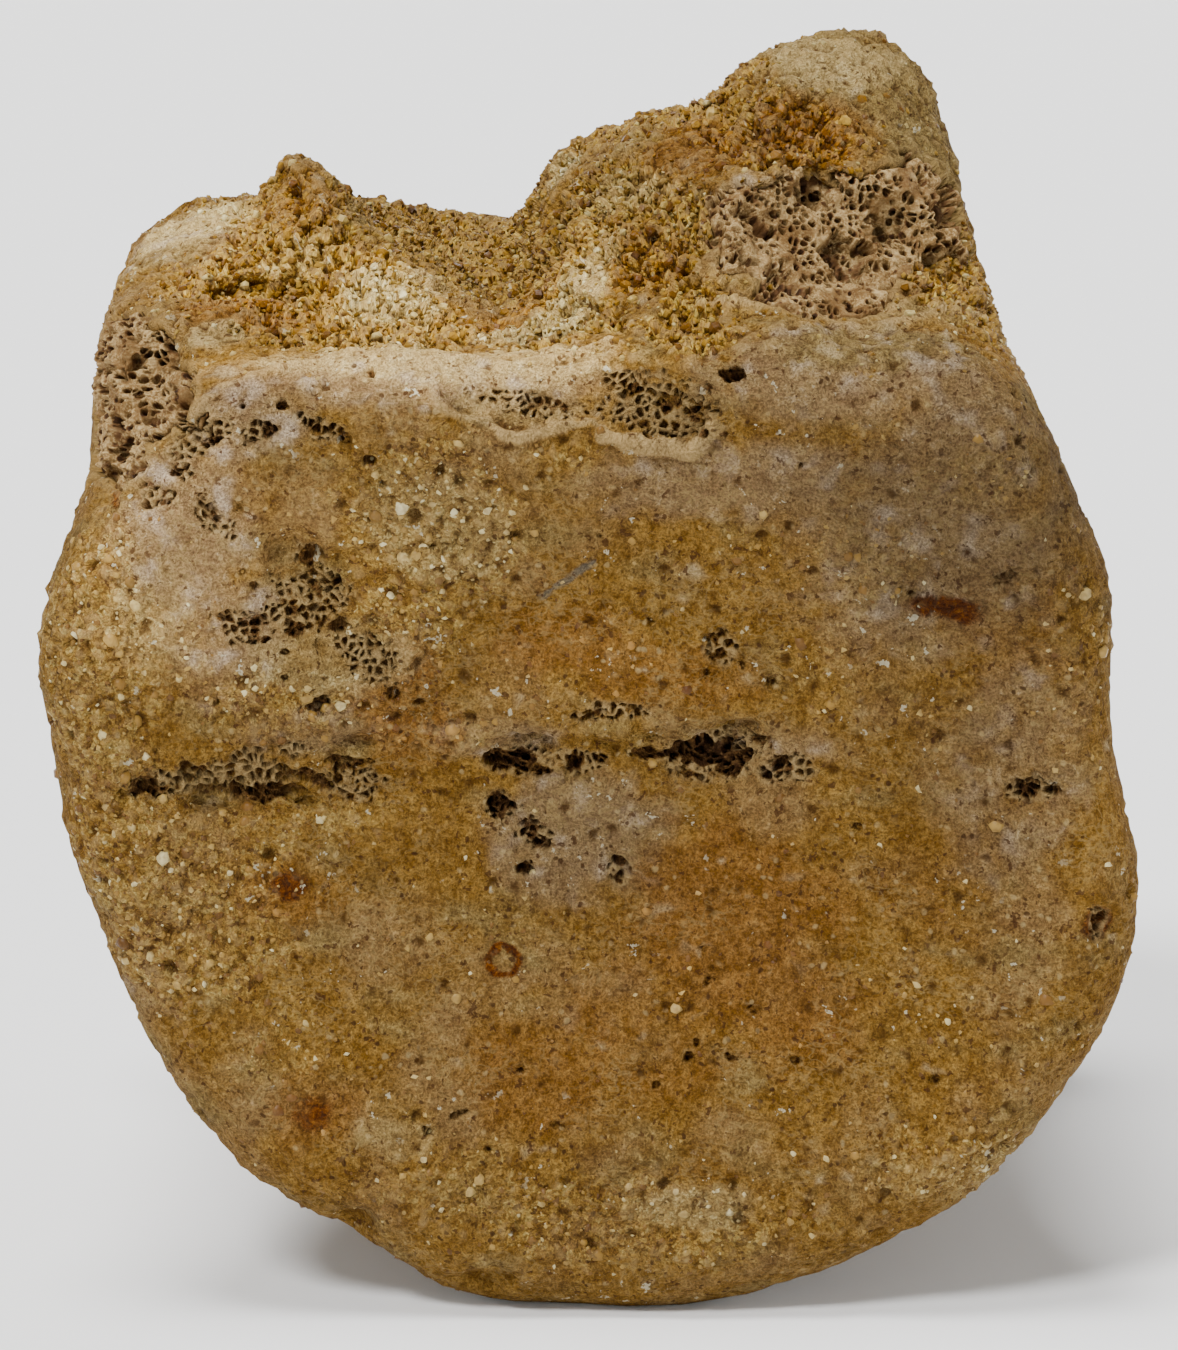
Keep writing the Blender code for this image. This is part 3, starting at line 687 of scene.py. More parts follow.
def relief_tree():
    """Moves the skin out and in: lumps, a granular crust, pores, raised edges and hollows."""
    graph, start = new_tree("Weathered relief", (
        ("Lump height", "Float", 0.2), ("Crust height", "Float", 0.26), ("Grain size", "Float", 0.8),
        ("Pore depth", "Float", 0.5), ("Hollow depth", "Float", 2.4), ("Cell size", "Float", 0.58),
    ))
    place = graph.out("GeometryNodeInputPosition")
    sand, rough, lace, side = (graph.attribute(name) for name in ("sand", "rough", "lace", "side"))
    lumps = graph.times(graph.swing(place, 0.3, 3.0), start["Lump height"], graph.scaled(rough, 1.8, 0.6))
    small = graph.times(graph.swing(place, 0.95, 4.0, 0.65), graph.scaled(rough, 0.55, 0.08))
    size = graph.math("DIVIDE", 1.0, start["Grain size"])
    beads = graph.cells(place, size, "SMOOTH_F1", Smoothness=0.25)
    beads = graph.times(graph.math("SUBTRACT", 0.55, beads), start["Crust height"], sand, 2.0)
    pit_pick = graph.part(graph.cells(place, 0.62, output="Color"))
    pits = graph.times(graph.ramp(graph.cells(place, 0.62), 0.42, 0.12), graph.ramp(pit_pick, 0.5, 0.9),
                       start["Pore depth"], graph.scaled(rough, 0.8, 0.4))
    spread = graph.vector("SCALE", graph.noise(place, 0.9, 1.0, output="Color"), Scale=0.5)
    flat = graph.vector("ADD", graph.stretched(place, 1.0, 0.25, 1.0), spread)
    cell = start["Cell size"]
    gap = graph.times(graph.cells(flat, graph.math("DIVIDE", 1.0, cell), "DISTANCE_TO_EDGE"), cell)
    wall = graph.ramp(gap, 0.15, 0.04)
    open_cell = graph.math("SUBTRACT", 1.0, wall)
    deep = graph.scaled(graph.swing(place, 0.6, 2.0), 0.5, 0.72)
    worn = graph.ramp(graph.noise(place, 0.5, 2.0), 0.5, 0.66, 0.0, 0.5)
    lacework = graph.times(lace, graph.add(graph.times(open_cell, deep), worn))
    pitted = graph.times(graph.attribute("pit"), graph.scaled(wall, -0.5, 1.0))
    sunk = graph.add(lacework, pitted)
    torn = graph.math("ABSOLUTE", graph.swing(graph.stretched(place, 1.3, 1.3, 0.6), 0.4, 3.0, 0.6))
    torn = graph.times(graph.ramp(torn, 0.2, 0.0), graph.attribute("crown"), -1.3)
    grainy = graph.times(graph.swing(graph.stretched(place, 0.7, 1.0, 1.6), 1.9, 3.0, 0.6), 0.12)
    ribs = graph.swing(graph.stretched(place, 1.1, 1.1, 0.16), 1.0, 3.0, 0.6)
    ribs = graph.times(ribs, graph.attribute("bare"), 0.75)
    grooves = graph.times(graph.swing(graph.stretched(place, 1.0, 0.13, 1.0), 1.0, 3.0, 0.6), side, 0.3)
    cracks = graph.math("ABSOLUTE", graph.swing(graph.stretched(place, 0.7, 0.35, 1.0), 0.16, 3.0, 0.55))
    cracks = graph.times(graph.ramp(cracks, 0.05, 0.0), side,
                         graph.ramp(graph.noise(place, 0.1, 1.0), 0.45, 0.6), -0.9)
    height = graph.add(lumps, small, beads, torn, grainy, ribs, grooves, cracks, graph.attribute("edge"))
    hollow = graph.math("MAXIMUM", graph.times(graph.attribute("spongy"), start["Hollow depth"]), sunk)
    height = graph.math("SUBTRACT", graph.math("SUBTRACT", height, pits), hollow)
    height = graph.times(height, graph.attribute("free"))
    normal = graph.blurred(graph.out("GeometryNodeInputNormal"), 2)
    body = graph.moved(start["Geometry"], Offset=graph.vector("SCALE", normal, Scale=height))
    body = graph.store(body, "sunk", sunk)
    # How far each point lies in a crease (dip) and in a broad hollow (hollow), for painted highlight and
    # shade in the bone material.
    for name, rounds in (("dip", 5), ("hollow", 60)):
        here = graph.out("GeometryNodeInputPosition")
        inwards = graph.vector("SUBTRACT", graph.blurred(here, rounds), here)
        body = graph.store(body, name, graph.vector("DOT_PRODUCT", inwards, normal))
    rest = graph.attribute("rest", "FLOAT_VECTOR")
    for name, scale, detail, roughness, stretch, shift in STAIN_NOISE:
        spot = graph.vector("MULTIPLY_ADD", rest, stretch, shift)
        body = graph.store(body, name, graph.noise(spot, scale, detail, roughness))
    return end_tree(graph, body)


def paint_skin(mesh):
    """Paints where sand, stains, rough and spongy bone lie."""
    points = points_of(mesh).astype(float)
    broad = ragged(points, 6.0, 1)
    fine = ragged(points, 1.8, 2)
    wobble = 0.6 * broad + 0.7 * fine
    crown = smooth_step(points[:, 2], 60, 66)
    away = smooth_step(points[:, 1], -27, -20)
    sand = patch_mask(points, SAND, wobble)
    sprinkled = 0.16 + 0.25 * smooth_step(broad, 0.0, 0.9)
    large = ragged(points, 15.0, 7) + 0.4 * broad
    behind = away * smooth_step(large + 0.3 * fine, 0.0, 0.5) * 0.8
    side = away * (1 - crown) * (1 - smooth_step(large, -0.1, 0.4))
    sprinkled *= 1 - 0.75 * side
    mauve = patch_mask(points, MAUVE, wobble, 0.5)
    sand = np.maximum(sand, sprinkled * (1 - 0.8 * mauve))
    back = smooth_step(points[:, 1], -6, 4)
    behind_crown = crown * back * (0.12 + 0.7 * smooth_step(large, -0.3, 0.4))
    sand = np.maximum(sand, np.maximum(behind, behind_crown))
    spongy = np.zeros(len(points))
    for lobes in SPONGY.values():
        spongy = np.maximum(spongy, 1 - smooth_step(patch_reach(points, lobes, fine), 0.92, 1.06))
    bare = patch_mask(points, BARE, wobble)
    sand *= (1 - spongy) * (1 - 0.9 * bare)
    edge = np.zeros(len(points))
    for height, width, line in EDGES:
        gap = near_line(points + 0.5 * fine[:, None], line)
        edge = np.maximum(edge, height * (1 - smooth_step(gap, 0.1 * width, width)) * (0.8 + 0.5 * broad))
    broken = patch_mask(points, [(x, y, z, 1.2 * w, 1.2 * d, 1.2 * h, 0.8)
                                 for lobes in SPONGY.values() for x, y, z, w, d, h in lobes], fine)
    front = points[:, 1] < FRONT_FACE
    spots = points[front][:, (0, 2)] + 0.25 * np.stack([fine[front], broad[front]], 1)
    crisp = ragged(points[front], 0.8, 3)
    pits, lace = np.zeros((2, len(spots)))
    for x, z, wide, high, depth, turn in PITS:
        reach = turned_reach(spots, x, z, wide, high, turn) + 0.5 * crisp
        pits = np.maximum(pits, depth * (1 - smooth_step(reach, 0.65, 1.1)))
    for row in LACE:
        lace = np.maximum(lace, 1 - smooth_step(turned_reach(spots, *row) + 0.4 * crisp, 0.75, 1.05))
    pit_depth, lace_share = np.zeros((2, len(points)))
    pit_depth[front], lace_share[front] = pits, lace
    sand *= 1 - 0.8 * lace_share
    rough = np.clip(np.maximum.reduce([sand, broken, crown * 0.6, 0.35 + 0.3 * broad]), 0, 1)
    painted = {
        "sand": sand, "crown": sand * smooth_step(points[:, 2], 63, 66), "mauve": mauve, "bare": bare,
        "side": side,
        # tone: lighter and darker areas, partly the bone's own tone, partly painted light and shade
        "tone": patch_mask(points, LIGHTER_AND_LIT, wobble, 0.45) - patch_mask(points, DARKER_AND_SHADED, wobble, 0.45),
        "iron": patch_mask(points, IRON, wobble, 0.5), "rust": patch_mask(points, RUST, 0.7 * fine, 0.45),
        "pale": patch_mask(points, PALE, wobble, 0.4), "spongy": spongy, "rough": rough, "edge": edge,
        "pit": pit_depth, "lace": lace_share, "free": smooth_step(points[:, 2], 0.1, 1.6),
    }
    for name, values in painted.items():
        paint(mesh, name, values)


def sponge_tree():
    """Carves open cells, ridges and broken pockets into the top of a slab of spongy bone."""
    graph, start = new_tree("Open spongy bone", (
        ("Material", "Material", None), ("Cell", "Float", 0.6), ("Stretch", "Vector", (1, 1, 1)),
        ("Tunnels", "Vector", (0, -1, 0)), ("Wall", "Float", 0.08), ("Depth", "Float", 1.6),
        ("Unevenness", "Float", 0.9), ("Ledges", "Float", 0.35), ("Pockets", "Float", 1.2),
    ))
    size = start["Cell"]
    place = graph.out("GeometryNodeInputPosition")
    warp = graph.vector("SCALE", graph.noise(place, 0.6, 1.0, output="Color"), Scale=0.8)
    cell = graph.vector("ADD", place, warp)
    way = graph.vector("NORMALIZE", start["Tunnels"])
    along = graph.times(graph.vector("DOT_PRODUCT", cell, way), 0.8)
    cell = graph.vector("MULTIPLY", graph.vector("SUBTRACT", cell, graph.vector("SCALE", way, Scale=along)),
                        start["Stretch"])
    often = graph.math("DIVIDE", 1.0, size)
    gap = graph.times(graph.cells(cell, often, "DISTANCE_TO_EDGE"), size)
    thick = graph.times(start["Wall"], graph.scaled(graph.swing(place, 0.8, 1.0), 0.7, 1.0))
    core = graph.times(graph.cells(cell, often, "SMOOTH_F1", Smoothness=0.15), size)
    open_cell = graph.least(graph.ramp(graph.math("SUBTRACT", gap, thick), -0.06, 0.08),
                            graph.ramp(core, graph.times(size, 0.5), graph.times(size, 0.36)))
    pick = graph.part(graph.cells(cell, often, output="Color"))
    pits = graph.times(open_cell, start["Depth"], graph.scaled(pick, 0.8, 0.25))
    pocket = graph.times(graph.ramp(graph.noise(place, 0.3, 3.0), 0.54, 0.64), start["Pockets"])
    ledges = graph.swing(graph.stretched(place, 0.4, 0.4, 1.25), 1.0, 3.0, 0.6)
    level = graph.add(graph.times(graph.swing(place, 0.4, 2.0), start["Unevenness"]),
                      graph.times(ledges, start["Ledges"]), graph.times(graph.swing(place, 2.2, 3.0), 0.12),
                      graph.ramp(graph.attribute("reach"), 0.9, 1.14, 0.0, -1.3))
    down = graph.math("SUBTRACT", level, graph.add(pits, pocket))
    down = graph.times(graph.math("MAXIMUM", down, -2.3), graph.attribute("outer"))
    normal = graph.blurred(graph.out("GeometryNodeInputNormal"), 30)
    body = graph.moved(start["Geometry"], Offset=graph.vector("SCALE", normal, Scale=down))
    # How deep each point lies in a cell or pocket, for the painted shade of the material.
    body = graph.store(body, "below", graph.scaled(pocket, 0.6, pits))
    body = graph.out("GeometryNodeSetShadeSmooth", {"Geometry": body, "Shade Smooth": True})
    return end_tree(graph, body, start["Material"])


def grain_shapes(count, corners, seed):
    """Angular pebbles about 1 across: hulls of points scattered over a squashed ball."""
    rng = np.random.default_rng(seed)
    group = bpy.data.collections.new(f"grain shapes {corners}")
    golden = math.pi * (3 - math.sqrt(5))
    for number in range(count):
        work = bmesh.new()
        squash = rng.uniform(0.32, 0.6, 3)
        for k in range(corners):
            up = 1 - 2 * (k + 0.5) / corners
            turn = golden * k + rng.uniform(-0.35, 0.35)
            flat = math.sqrt(1 - up * up)
            spot = np.array((flat * math.cos(turn), flat * math.sin(turn), up))
            work.verts.new(spot * squash * rng.uniform(0.8, 1.1))
        hull = bmesh.ops.convex_hull(work, input=work.verts)
        spare = {g for g in hull["geom_interior"] + hull["geom_unused"] if isinstance(g, bmesh.types.BMVert)}
        bmesh.ops.delete(work, geom=list(spare), context="VERTS")
        bmesh.ops.recalc_face_normals(work, faces=work.faces)
        mesh = bpy.data.meshes.new(f"grain {corners} {number}")
        work.to_mesh(mesh)
        work.free()
        group.objects.link(bpy.data.objects.new(mesh.name, mesh))
    return group


def sand_tree():
    """Scatters grains over the bone where the sand attribute says, half sunk in the crust."""
    graph, start = new_tree("Cemented sand", (
        ("Shapes", "Collection", None), ("Material", "Material", None),
        ("Where", "String", "sand"), ("Grains for each mm2", "Float", 3.2), ("Spacing", "Float", 0.55),
        ("Smallest", "Float", 0.6), ("Largest", "Float", 1.2), ("Sharpness", "Float", 1.6),
        ("Lift", "Float", -0.3), ("Rounded", "Bool", True), ("Seed", "Int", 4),
    ))
    share = graph.math("MAXIMUM", graph.attribute(start["Where"]), 0.0)
    share = graph.math("POWER", share, start["Sharpness"])
    share = graph.times(share, graph.ramp(graph.attribute("free"), 0.3, 1.0))
    spots = graph.node("GeometryNodeDistributePointsOnFaces", {
        "Mesh": start["Geometry"], "Seed": start["Seed"]}, distribute_method="POISSON")
    graph.feed(spots, "Distance Min", start["Spacing"])
    graph.feed(spots, "Density Max", start["Grains for each mm2"])
    graph.feed(spots, "Density Factor", share)

    def chance(low, high, offset, kind="FLOAT"):
        seed = graph.math("ADD", start["Seed"], float(offset))
        return graph.out("FunctionNodeRandomValue", {"Min": low, "Max": high, "Seed": seed}, data_type=kind)

    size = graph.math("POWER", chance(0.0, 1.0, 3), 1.6)
    span = graph.math("SUBTRACT", start["Largest"], start["Smallest"])
    size = graph.scaled(size, span, start["Smallest"])
    lift = graph.vector("SCALE", spots.outputs["Normal"], Scale=graph.times(start["Lift"], size))
    points = graph.moved(spots.outputs["Points"], Offset=lift)
    points = graph.store(points, "foot", graph.out("GeometryNodeInputPosition"), "FLOAT_VECTOR")
    points = graph.store(points, "upright", spots.outputs["Normal"], "FLOAT_VECTOR")
    turn = chance((0.0, 0.0, 0.0), (math.tau, math.tau, math.tau), 5, "FLOAT_VECTOR")
    shapes = graph.out("GeometryNodeCollectionInfo", {
        "Collection": start["Shapes"], "Separate Children": True, "Reset Children": True})
    grains = graph.out("GeometryNodeInstanceOnPoints", {
        "Points": points, "Instance": shapes, "Pick Instance": True,
        "Instance Index": chance(0, 99, 7, "INT"),
        "Rotation": graph.out("FunctionNodeEulerToRotation", {0: turn}), "Scale": size})
    grains = graph.store(grains, "tint", chance(0.0, 1.0, 9), domain="INSTANCE")
    grains = graph.out("GeometryNodeRealizeInstances", {"Geometry": grains})
    foot, upright = (graph.attribute(name, "FLOAT_VECTOR") for name in ("foot", "upright"))
    over = graph.vector("SUBTRACT", graph.out("GeometryNodeInputPosition"), foot)
    stood = graph.vector("DOT_PRODUCT", over, upright)
    # How high each point stands above the grain's foot, for the painted shade at the feet.
    grains = graph.store(grains, "stood", graph.math("DIVIDE", stood, start["Largest"]))
    grains = graph.out("GeometryNodeSetShadeSmooth", {"Geometry": grains, "Shade Smooth": start["Rounded"]})
    return end_tree(graph, grains, start["Material"])


def new_material(name):
    """A material, its graph and its surface node."""
    material = bpy.data.materials.new(name)
    material.use_nodes = True
    graph = Graph(material.node_tree)
    return material, graph, material.node_tree.nodes["Principled BSDF"]


def amber_crown(graph, place, pale):
    """How much of the crown lies here, and how much of its amber tint."""
    high = graph.ramp(graph.part(place, 2), CROWN_LOW, CROWN_HIGH)
    return high, graph.times(high, graph.scaled(pale, -0.8, 1.0))


def lit_and_toned(graph, colour, saturation, *values):
    """A colour with its saturation, and a brightness that goes by the painted tone, which is partly the
    bone's own tone and partly painted light and shade.
    """
    greys = [(share, (value,) * 3) for share, value in zip((0.0, 0.5, 1.0), values)]
    value = graph.colours(graph.scaled(graph.painted("tone"), 0.5, 0.5), *greys)
    return {"Color": colour, "Saturation": saturation, "Value": value}


def bone_material(settings):
    """Stained, pitted bone with a gritty crust where sand lies."""
    material, graph, surface = new_material("weathered bone")
    place = graph.painted("rest", "Vector")
    sand, mauve, iron, rust, pale, side, dip, hollow, spongy, lace, sunk, grain = (
        graph.painted(name) for name in ("sand", "mauve", "iron", "rust", "pale", "side", "dip", "hollow",
                                         "spongy", "lace", "sunk", "grain"))
    middle = graph.noise(place, 0.7, 4.0, 0.65)
    fine = graph.noise(place, 2.4, 3.0, 0.68)
    dust = graph.noise(place, 6.5, 1.0, 0.7)
    streaks = graph.noise(graph.stretched(place, 0.45, 0.6, 1.5), 1.0, 3.0, 0.7)
    mottle = graph.scaled(fine, 0.55, graph.times(middle, 0.45))
    hard = graph.scaled(streaks, 0.25, graph.add(graph.times(fine, 0.4), graph.times(middle, 0.35)))
    ochre = graph.colours(mottle, (0.3, (0.074, 0.033, 0.004)), (0.44, (0.134, 0.065, 0.01)),
                          (0.53, tuple(settings.ochre)), (0.66, (0.3, 0.178, 0.05)))
    dusk = graph.colours(hard, (0.3, (0.11, 0.062, 0.026)), (0.44, (0.176, 0.11, 0.055)),
                         (0.54, tuple(settings.mauve)), (0.68, (0.39, 0.3, 0.2)))
    orange = graph.colours(mottle, (0.3, (0.074, 0.028, 0.003)), (0.44, (0.132, 0.057, 0.009)),
                           (0.54, tuple(settings.orange)), (0.68, (0.29, 0.157, 0.046)))
    cream = graph.colours(hard, (0.3, (0.2, 0.13, 0.045)), (0.5, (0.42, 0.31, 0.14)),
                          (0.7, (0.6, 0.49, 0.27)))
    olive = graph.colours(mottle, (0.3, (0.067, 0.039, 0.011)), (0.46, (0.142, 0.092, 0.032)),
                          (0.56, (0.222, 0.155, 0.056)), (0.68, (0.39, 0.3, 0.14)))
    colour = graph.layers(
        ochre,
        (graph.painted("broad"), 0.45, 0.7, 0.5, dusk),
        (graph.painted("drift"), 0.5, 0.66, 0.8, olive),
        (graph.scaled(graph.swung("mixing"), 0.9, mauve), 0.15, 0.95, 0.9, dusk),
        (graph.painted("bare"), 0.2, 0.9, 0.85, olive),
        (graph.scaled(graph.swung("rusting"), 0.5, iron), 0.2, 1.0, 0.9, orange),
        (graph.scaled(graph.swung("paling"), 0.35, pale), 0.3, 1.0, 0.8, cream),
        (graph.painted("wisp"), 0.58, 0.7, 0.7, (0.4, 0.31, 0.18)))
    rosy = graph.times(graph.ramp(graph.painted("rosy"), 0.5, 0.66), graph.ramp(mauve, 0.2, 0.8))
    colour = graph.blend(graph.times(rosy, 0.6), colour, (0.44, 0.355, 0.27))
    for low, high, streak in ((0.5, 0.64, (0.36, 0.26, 0.13)), (0.46, 0.34, (0.1, 0.055, 0.018))):
        colour = graph.blend(graph.times(graph.ramp(grain, low, high), side, 0.7), colour, streak)

    spread = graph.vector("SCALE", graph.noise(place, 1.7, 0.0, output="Color"), Scale=0.3)
    spot = graph.vector("ADD", place, spread)
    bead = graph.cells(spot, 1.55)
    bead_colour = graph.node("ShaderNodeSeparateXYZ", {0: bead.node.outputs["Color"]})
    grain_tone, hole_pick, fleck_pick = bead_colour.outputs
    crumb_tone = graph.part(graph.cells(spot, 4.2, output="Color"))
    tone = graph.scaled(grain_tone, 0.5, graph.times(crumb_tone, 0.5))
    grit = graph.colours(tone, (0.1, (0.06, 0.022, 0.003)), (0.3, (0.15, 0.068, 0.009)),
                         (0.5, (0.27, 0.145, 0.024)), (0.7, (0.4, 0.25, 0.055)), (0.9, (0.58, 0.43, 0.14)))
    dark_grit = graph.colours(tone, (0.1, (0.055, 0.016, 0.002)), (0.35, (0.14, 0.045, 0.004)),
                              (0.6, (0.27, 0.1, 0.012)), (0.9, (0.42, 0.21, 0.045)))
    pale_grit = graph.colours(tone, (0.1, (0.17, 0.105, 0.035)), (0.5, (0.43, 0.34, 0.15)),
                              (0.9, (0.66, 0.6, 0.36)))
    grit = graph.layers(grit, (iron, 0.2, 1.0, 0.8, dark_grit), (pale, 0.2, 1.0, 0.85, pale_grit))
    crust = graph.ramp(graph.add(sand, graph.times(graph.swing(place, 1.6, 1.0), 0.25)), 0.3, 0.8)
    high, amber = amber_crown(graph, place, pale)
    grit = graph.blend(amber, grit, (0.9, 0.86, 0.7), "MULTIPLY")
    grit = graph.out("ShaderNodeHueSaturation", {"Color": grit, "Saturation": graph.scaled(high, 0.06, 0.96)})
    colour = graph.blend(graph.times(crust, graph.scaled(high, 0.4, 0.5)), colour, grit)

    wander = graph.swing(place, 1.8, 1.0)
    face_place = graph.stretched(place, 1.0, 0.0, 1.0)
    facing = graph.ramp(graph.part(place, 1), -20.0, -24.0)
    ring = graph.vector("DISTANCE", face_place, RING[0])
    ring = graph.math("SUBTRACT", graph.add(ring, graph.times(wander, 0.35)), RING[1])
    ring = graph.ramp(graph.math("ABSOLUTE", ring), 0.55, 0.1, 0.0, 0.9)
    stain = graph.add(graph.math("MAXIMUM", rust, graph.times(ring, facing)), graph.times(wander, 0.25))
    scab = graph.colours(fine, (0.35, (0.04, 0.011, 0.002)), (0.55, (0.11, 0.03, 0.004)),
                         (0.7, (0.2, 0.075, 0.012)))
    colour = graph.blend(graph.ramp(stain, 0.25, 0.9), colour, scab)
    scratch = graph.add(graph.near_stretch(face_place, *SCRATCH), graph.times(wander, 0.28))
    scratch = graph.times(graph.ramp(scratch, 0.36, 0.08), facing, 0.85)
    colour = graph.blend(scratch, colour, (0.11, 0.095, 0.07))
    colour = graph.layers(colour, (graph.painted("edge"), 0.15, 0.5, 0.6, (0.38, 0.27, 0.13)))
    # Fine speckle that follows the dust relief of the bump: painted light on its tops and painted shade in
    # its dips.
    powder_and_painted_light = graph.blend(1.0, colour, (1.5, 1.5, 1.45), "MULTIPLY")
    shade = graph.blend(1.0, colour, (0.74, 0.7, 0.64), "MULTIPLY")
    colour = graph.blend(graph.ramp(dust, 0.3, 0.72), shade, powder_and_painted_light)

    shifted = graph.vector("ADD", place, (5.0, 3.0, 1.0))
    crazed = graph.math("ABSOLUTE", graph.swing(graph.stretched(place, 0.8, 1.0, 1.3), 0.9, 2.0, 0.6))
    # The first and third flecks are painted holes: dark spots of painted shade with no hole cut under them.
    # The others are the bone's own colour.
    flecks = (
        (graph.ramp(graph.noise(place, 2.0, 2.0, 0.55), 0.625, 0.655),
         graph.ramp(graph.painted("dark_where"), 0.36, 0.5), 0.8, (0.06, 0.022, 0.007)),
        (graph.ramp(crazed, 0.1, 0.0),
         graph.ramp(graph.painted("crazed_where"), 0.46, 0.6), 0.4, (0.33, 0.23, 0.09)),
        (graph.times(graph.ramp(bead, 0.32, 0.19), graph.ramp(hole_pick, 0.58, 0.62)),
         graph.ramp(graph.painted("pinhole_where"), 0.5, 0.58), 0.85, (0.05, 0.02, 0.006)),
        (graph.ramp(graph.noise(shifted, 1.1, 3.0, 0.65), 0.655, 0.68),
         graph.ramp(graph.painted("white_where"), 0.48, 0.6), 0.85, (0.56, 0.5, 0.34)),
        (graph.times(graph.ramp(bead, 0.41, 0.17), graph.ramp(fleck_pick, 0.78, 0.82)),
         graph.ramp(graph.painted("light_where"), 0.46, 0.6), 0.5, (0.5, 0.37, 0.17)),
    )
    for mark, where, strength, fleck in flecks:
        colour = graph.blend(graph.times(mark, where, strength), colour, fleck)

    walls = graph.colours(fine, (0.35, (0.19, 0.115, 0.045)), (0.6, (0.37, 0.26, 0.12)))
    colour = graph.blend(graph.times(lace, graph.ramp(sunk, 0.45, 0.1), 0.75), colour, walls)
    # Painted shade down in the pits and in the cells of the lacework, deeper pits darker.
    pit_shade = graph.colours(dust, (0.35, (0.05, 0.02, 0.005)), (0.65, (0.15, 0.07, 0.022)))
    colour = graph.layers(
        colour,
        # painted highlight on ridges and painted shade in creases, by the dip of the relief
        (dip, -0.02, -0.14, 0.3, (0.46, 0.31, 0.13)),
        (dip, 0.02, 0.16, 0.75, (0.06, 0.023, 0.004)),
        (sunk, 0.2, 0.75, 0.9, pit_shade),
        (sunk, 0.9, 2.0, 0.9, (0.045, 0.019, 0.007)),
        # painted shade in broad hollows and on the sunk floor under the spongy bone
        (hollow, 0.5, 1.6, 0.7, (0.05, 0.02, 0.005)),
        (spongy, 0.2, 0.9, 0.92, (0.04, 0.016, 0.005)))
    # The tone lightens and darkens whole areas: partly the bone's own tone, partly painted light and shade.
    look = lit_and_toned(graph, colour, 1.03, 0.5, 0.86, 1.5)
    # Painted shade: the bone below the crown is darkened to 0.85 of its colour, from 62 mm down to 57 mm.
    look["Value"] = graph.times(graph.ramp(graph.part(place, 2), 57.0, 62.0, 0.85, 1.0), look["Value"])
    graph.feed(surface, "Base Color", graph.out("ShaderNodeHueSaturation", look))
    surface.inputs["Specular IOR Level"].default_value = 0.08
    gloss = graph.add(graph.times(grain_tone, 0.5), graph.times(crust, 0.6))
    graph.feed(surface, "Roughness", graph.ramp(gloss, 0.3, 1.1, 0.85, 0.5))
    beads = graph.times(bead, graph.ramp(sand, 0.3, 0.8), -1.1)
    graph.bump(surface, 0.9, 0.36, graph.add(beads, graph.times(fine, 1.5), graph.times(dust, 0.65)))
    return material


def sponge_material(settings):
    """Open spongy bone, with painted shade down in its cells and pockets."""
    material, graph, surface = new_material("spongy bone")
    place = graph.vector("SCALE", graph.out("ShaderNodeTexCoord", None, "Object"), Scale=1 / MM)
    below = graph.painted("below")
    fine = graph.noise(place, 1.3, 4.0, 0.65)
    dust = graph.noise(place, 6.0, 3.0, 0.6)
    colour = graph.colours(fine, (0.32, (0.1, 0.05, 0.017)), (0.5, tuple(settings.spongy)),
                           (0.68, (0.42, 0.29, 0.13)))
    colour = graph.layers(
        colour,
        (dust, 0.46, 0.62, 0.6, (0.47, 0.34, 0.16)),
        (graph.noise(place, 0.5, 4.0, 0.6), 0.46, 0.62, 0.75, (0.12, 0.058, 0.016)),
        # Painted shade down in the cells and pockets, the deepest darkest.
        (below, 0.1, 0.7, 0.9, (0.1, 0.043, 0.014)),
        (below, 0.6, 1.3, 0.95, (0.03, 0.012, 0.004)))
    graph.feed(surface, "Base Color", colour)
    surface.inputs["Specular IOR Level"].default_value = 0.1
    surface.inputs["Roughness"].default_value = 0.72
    graph.bump(surface, 0.8, 0.25, graph.add(fine, graph.times(dust, 0.4)))
    return material


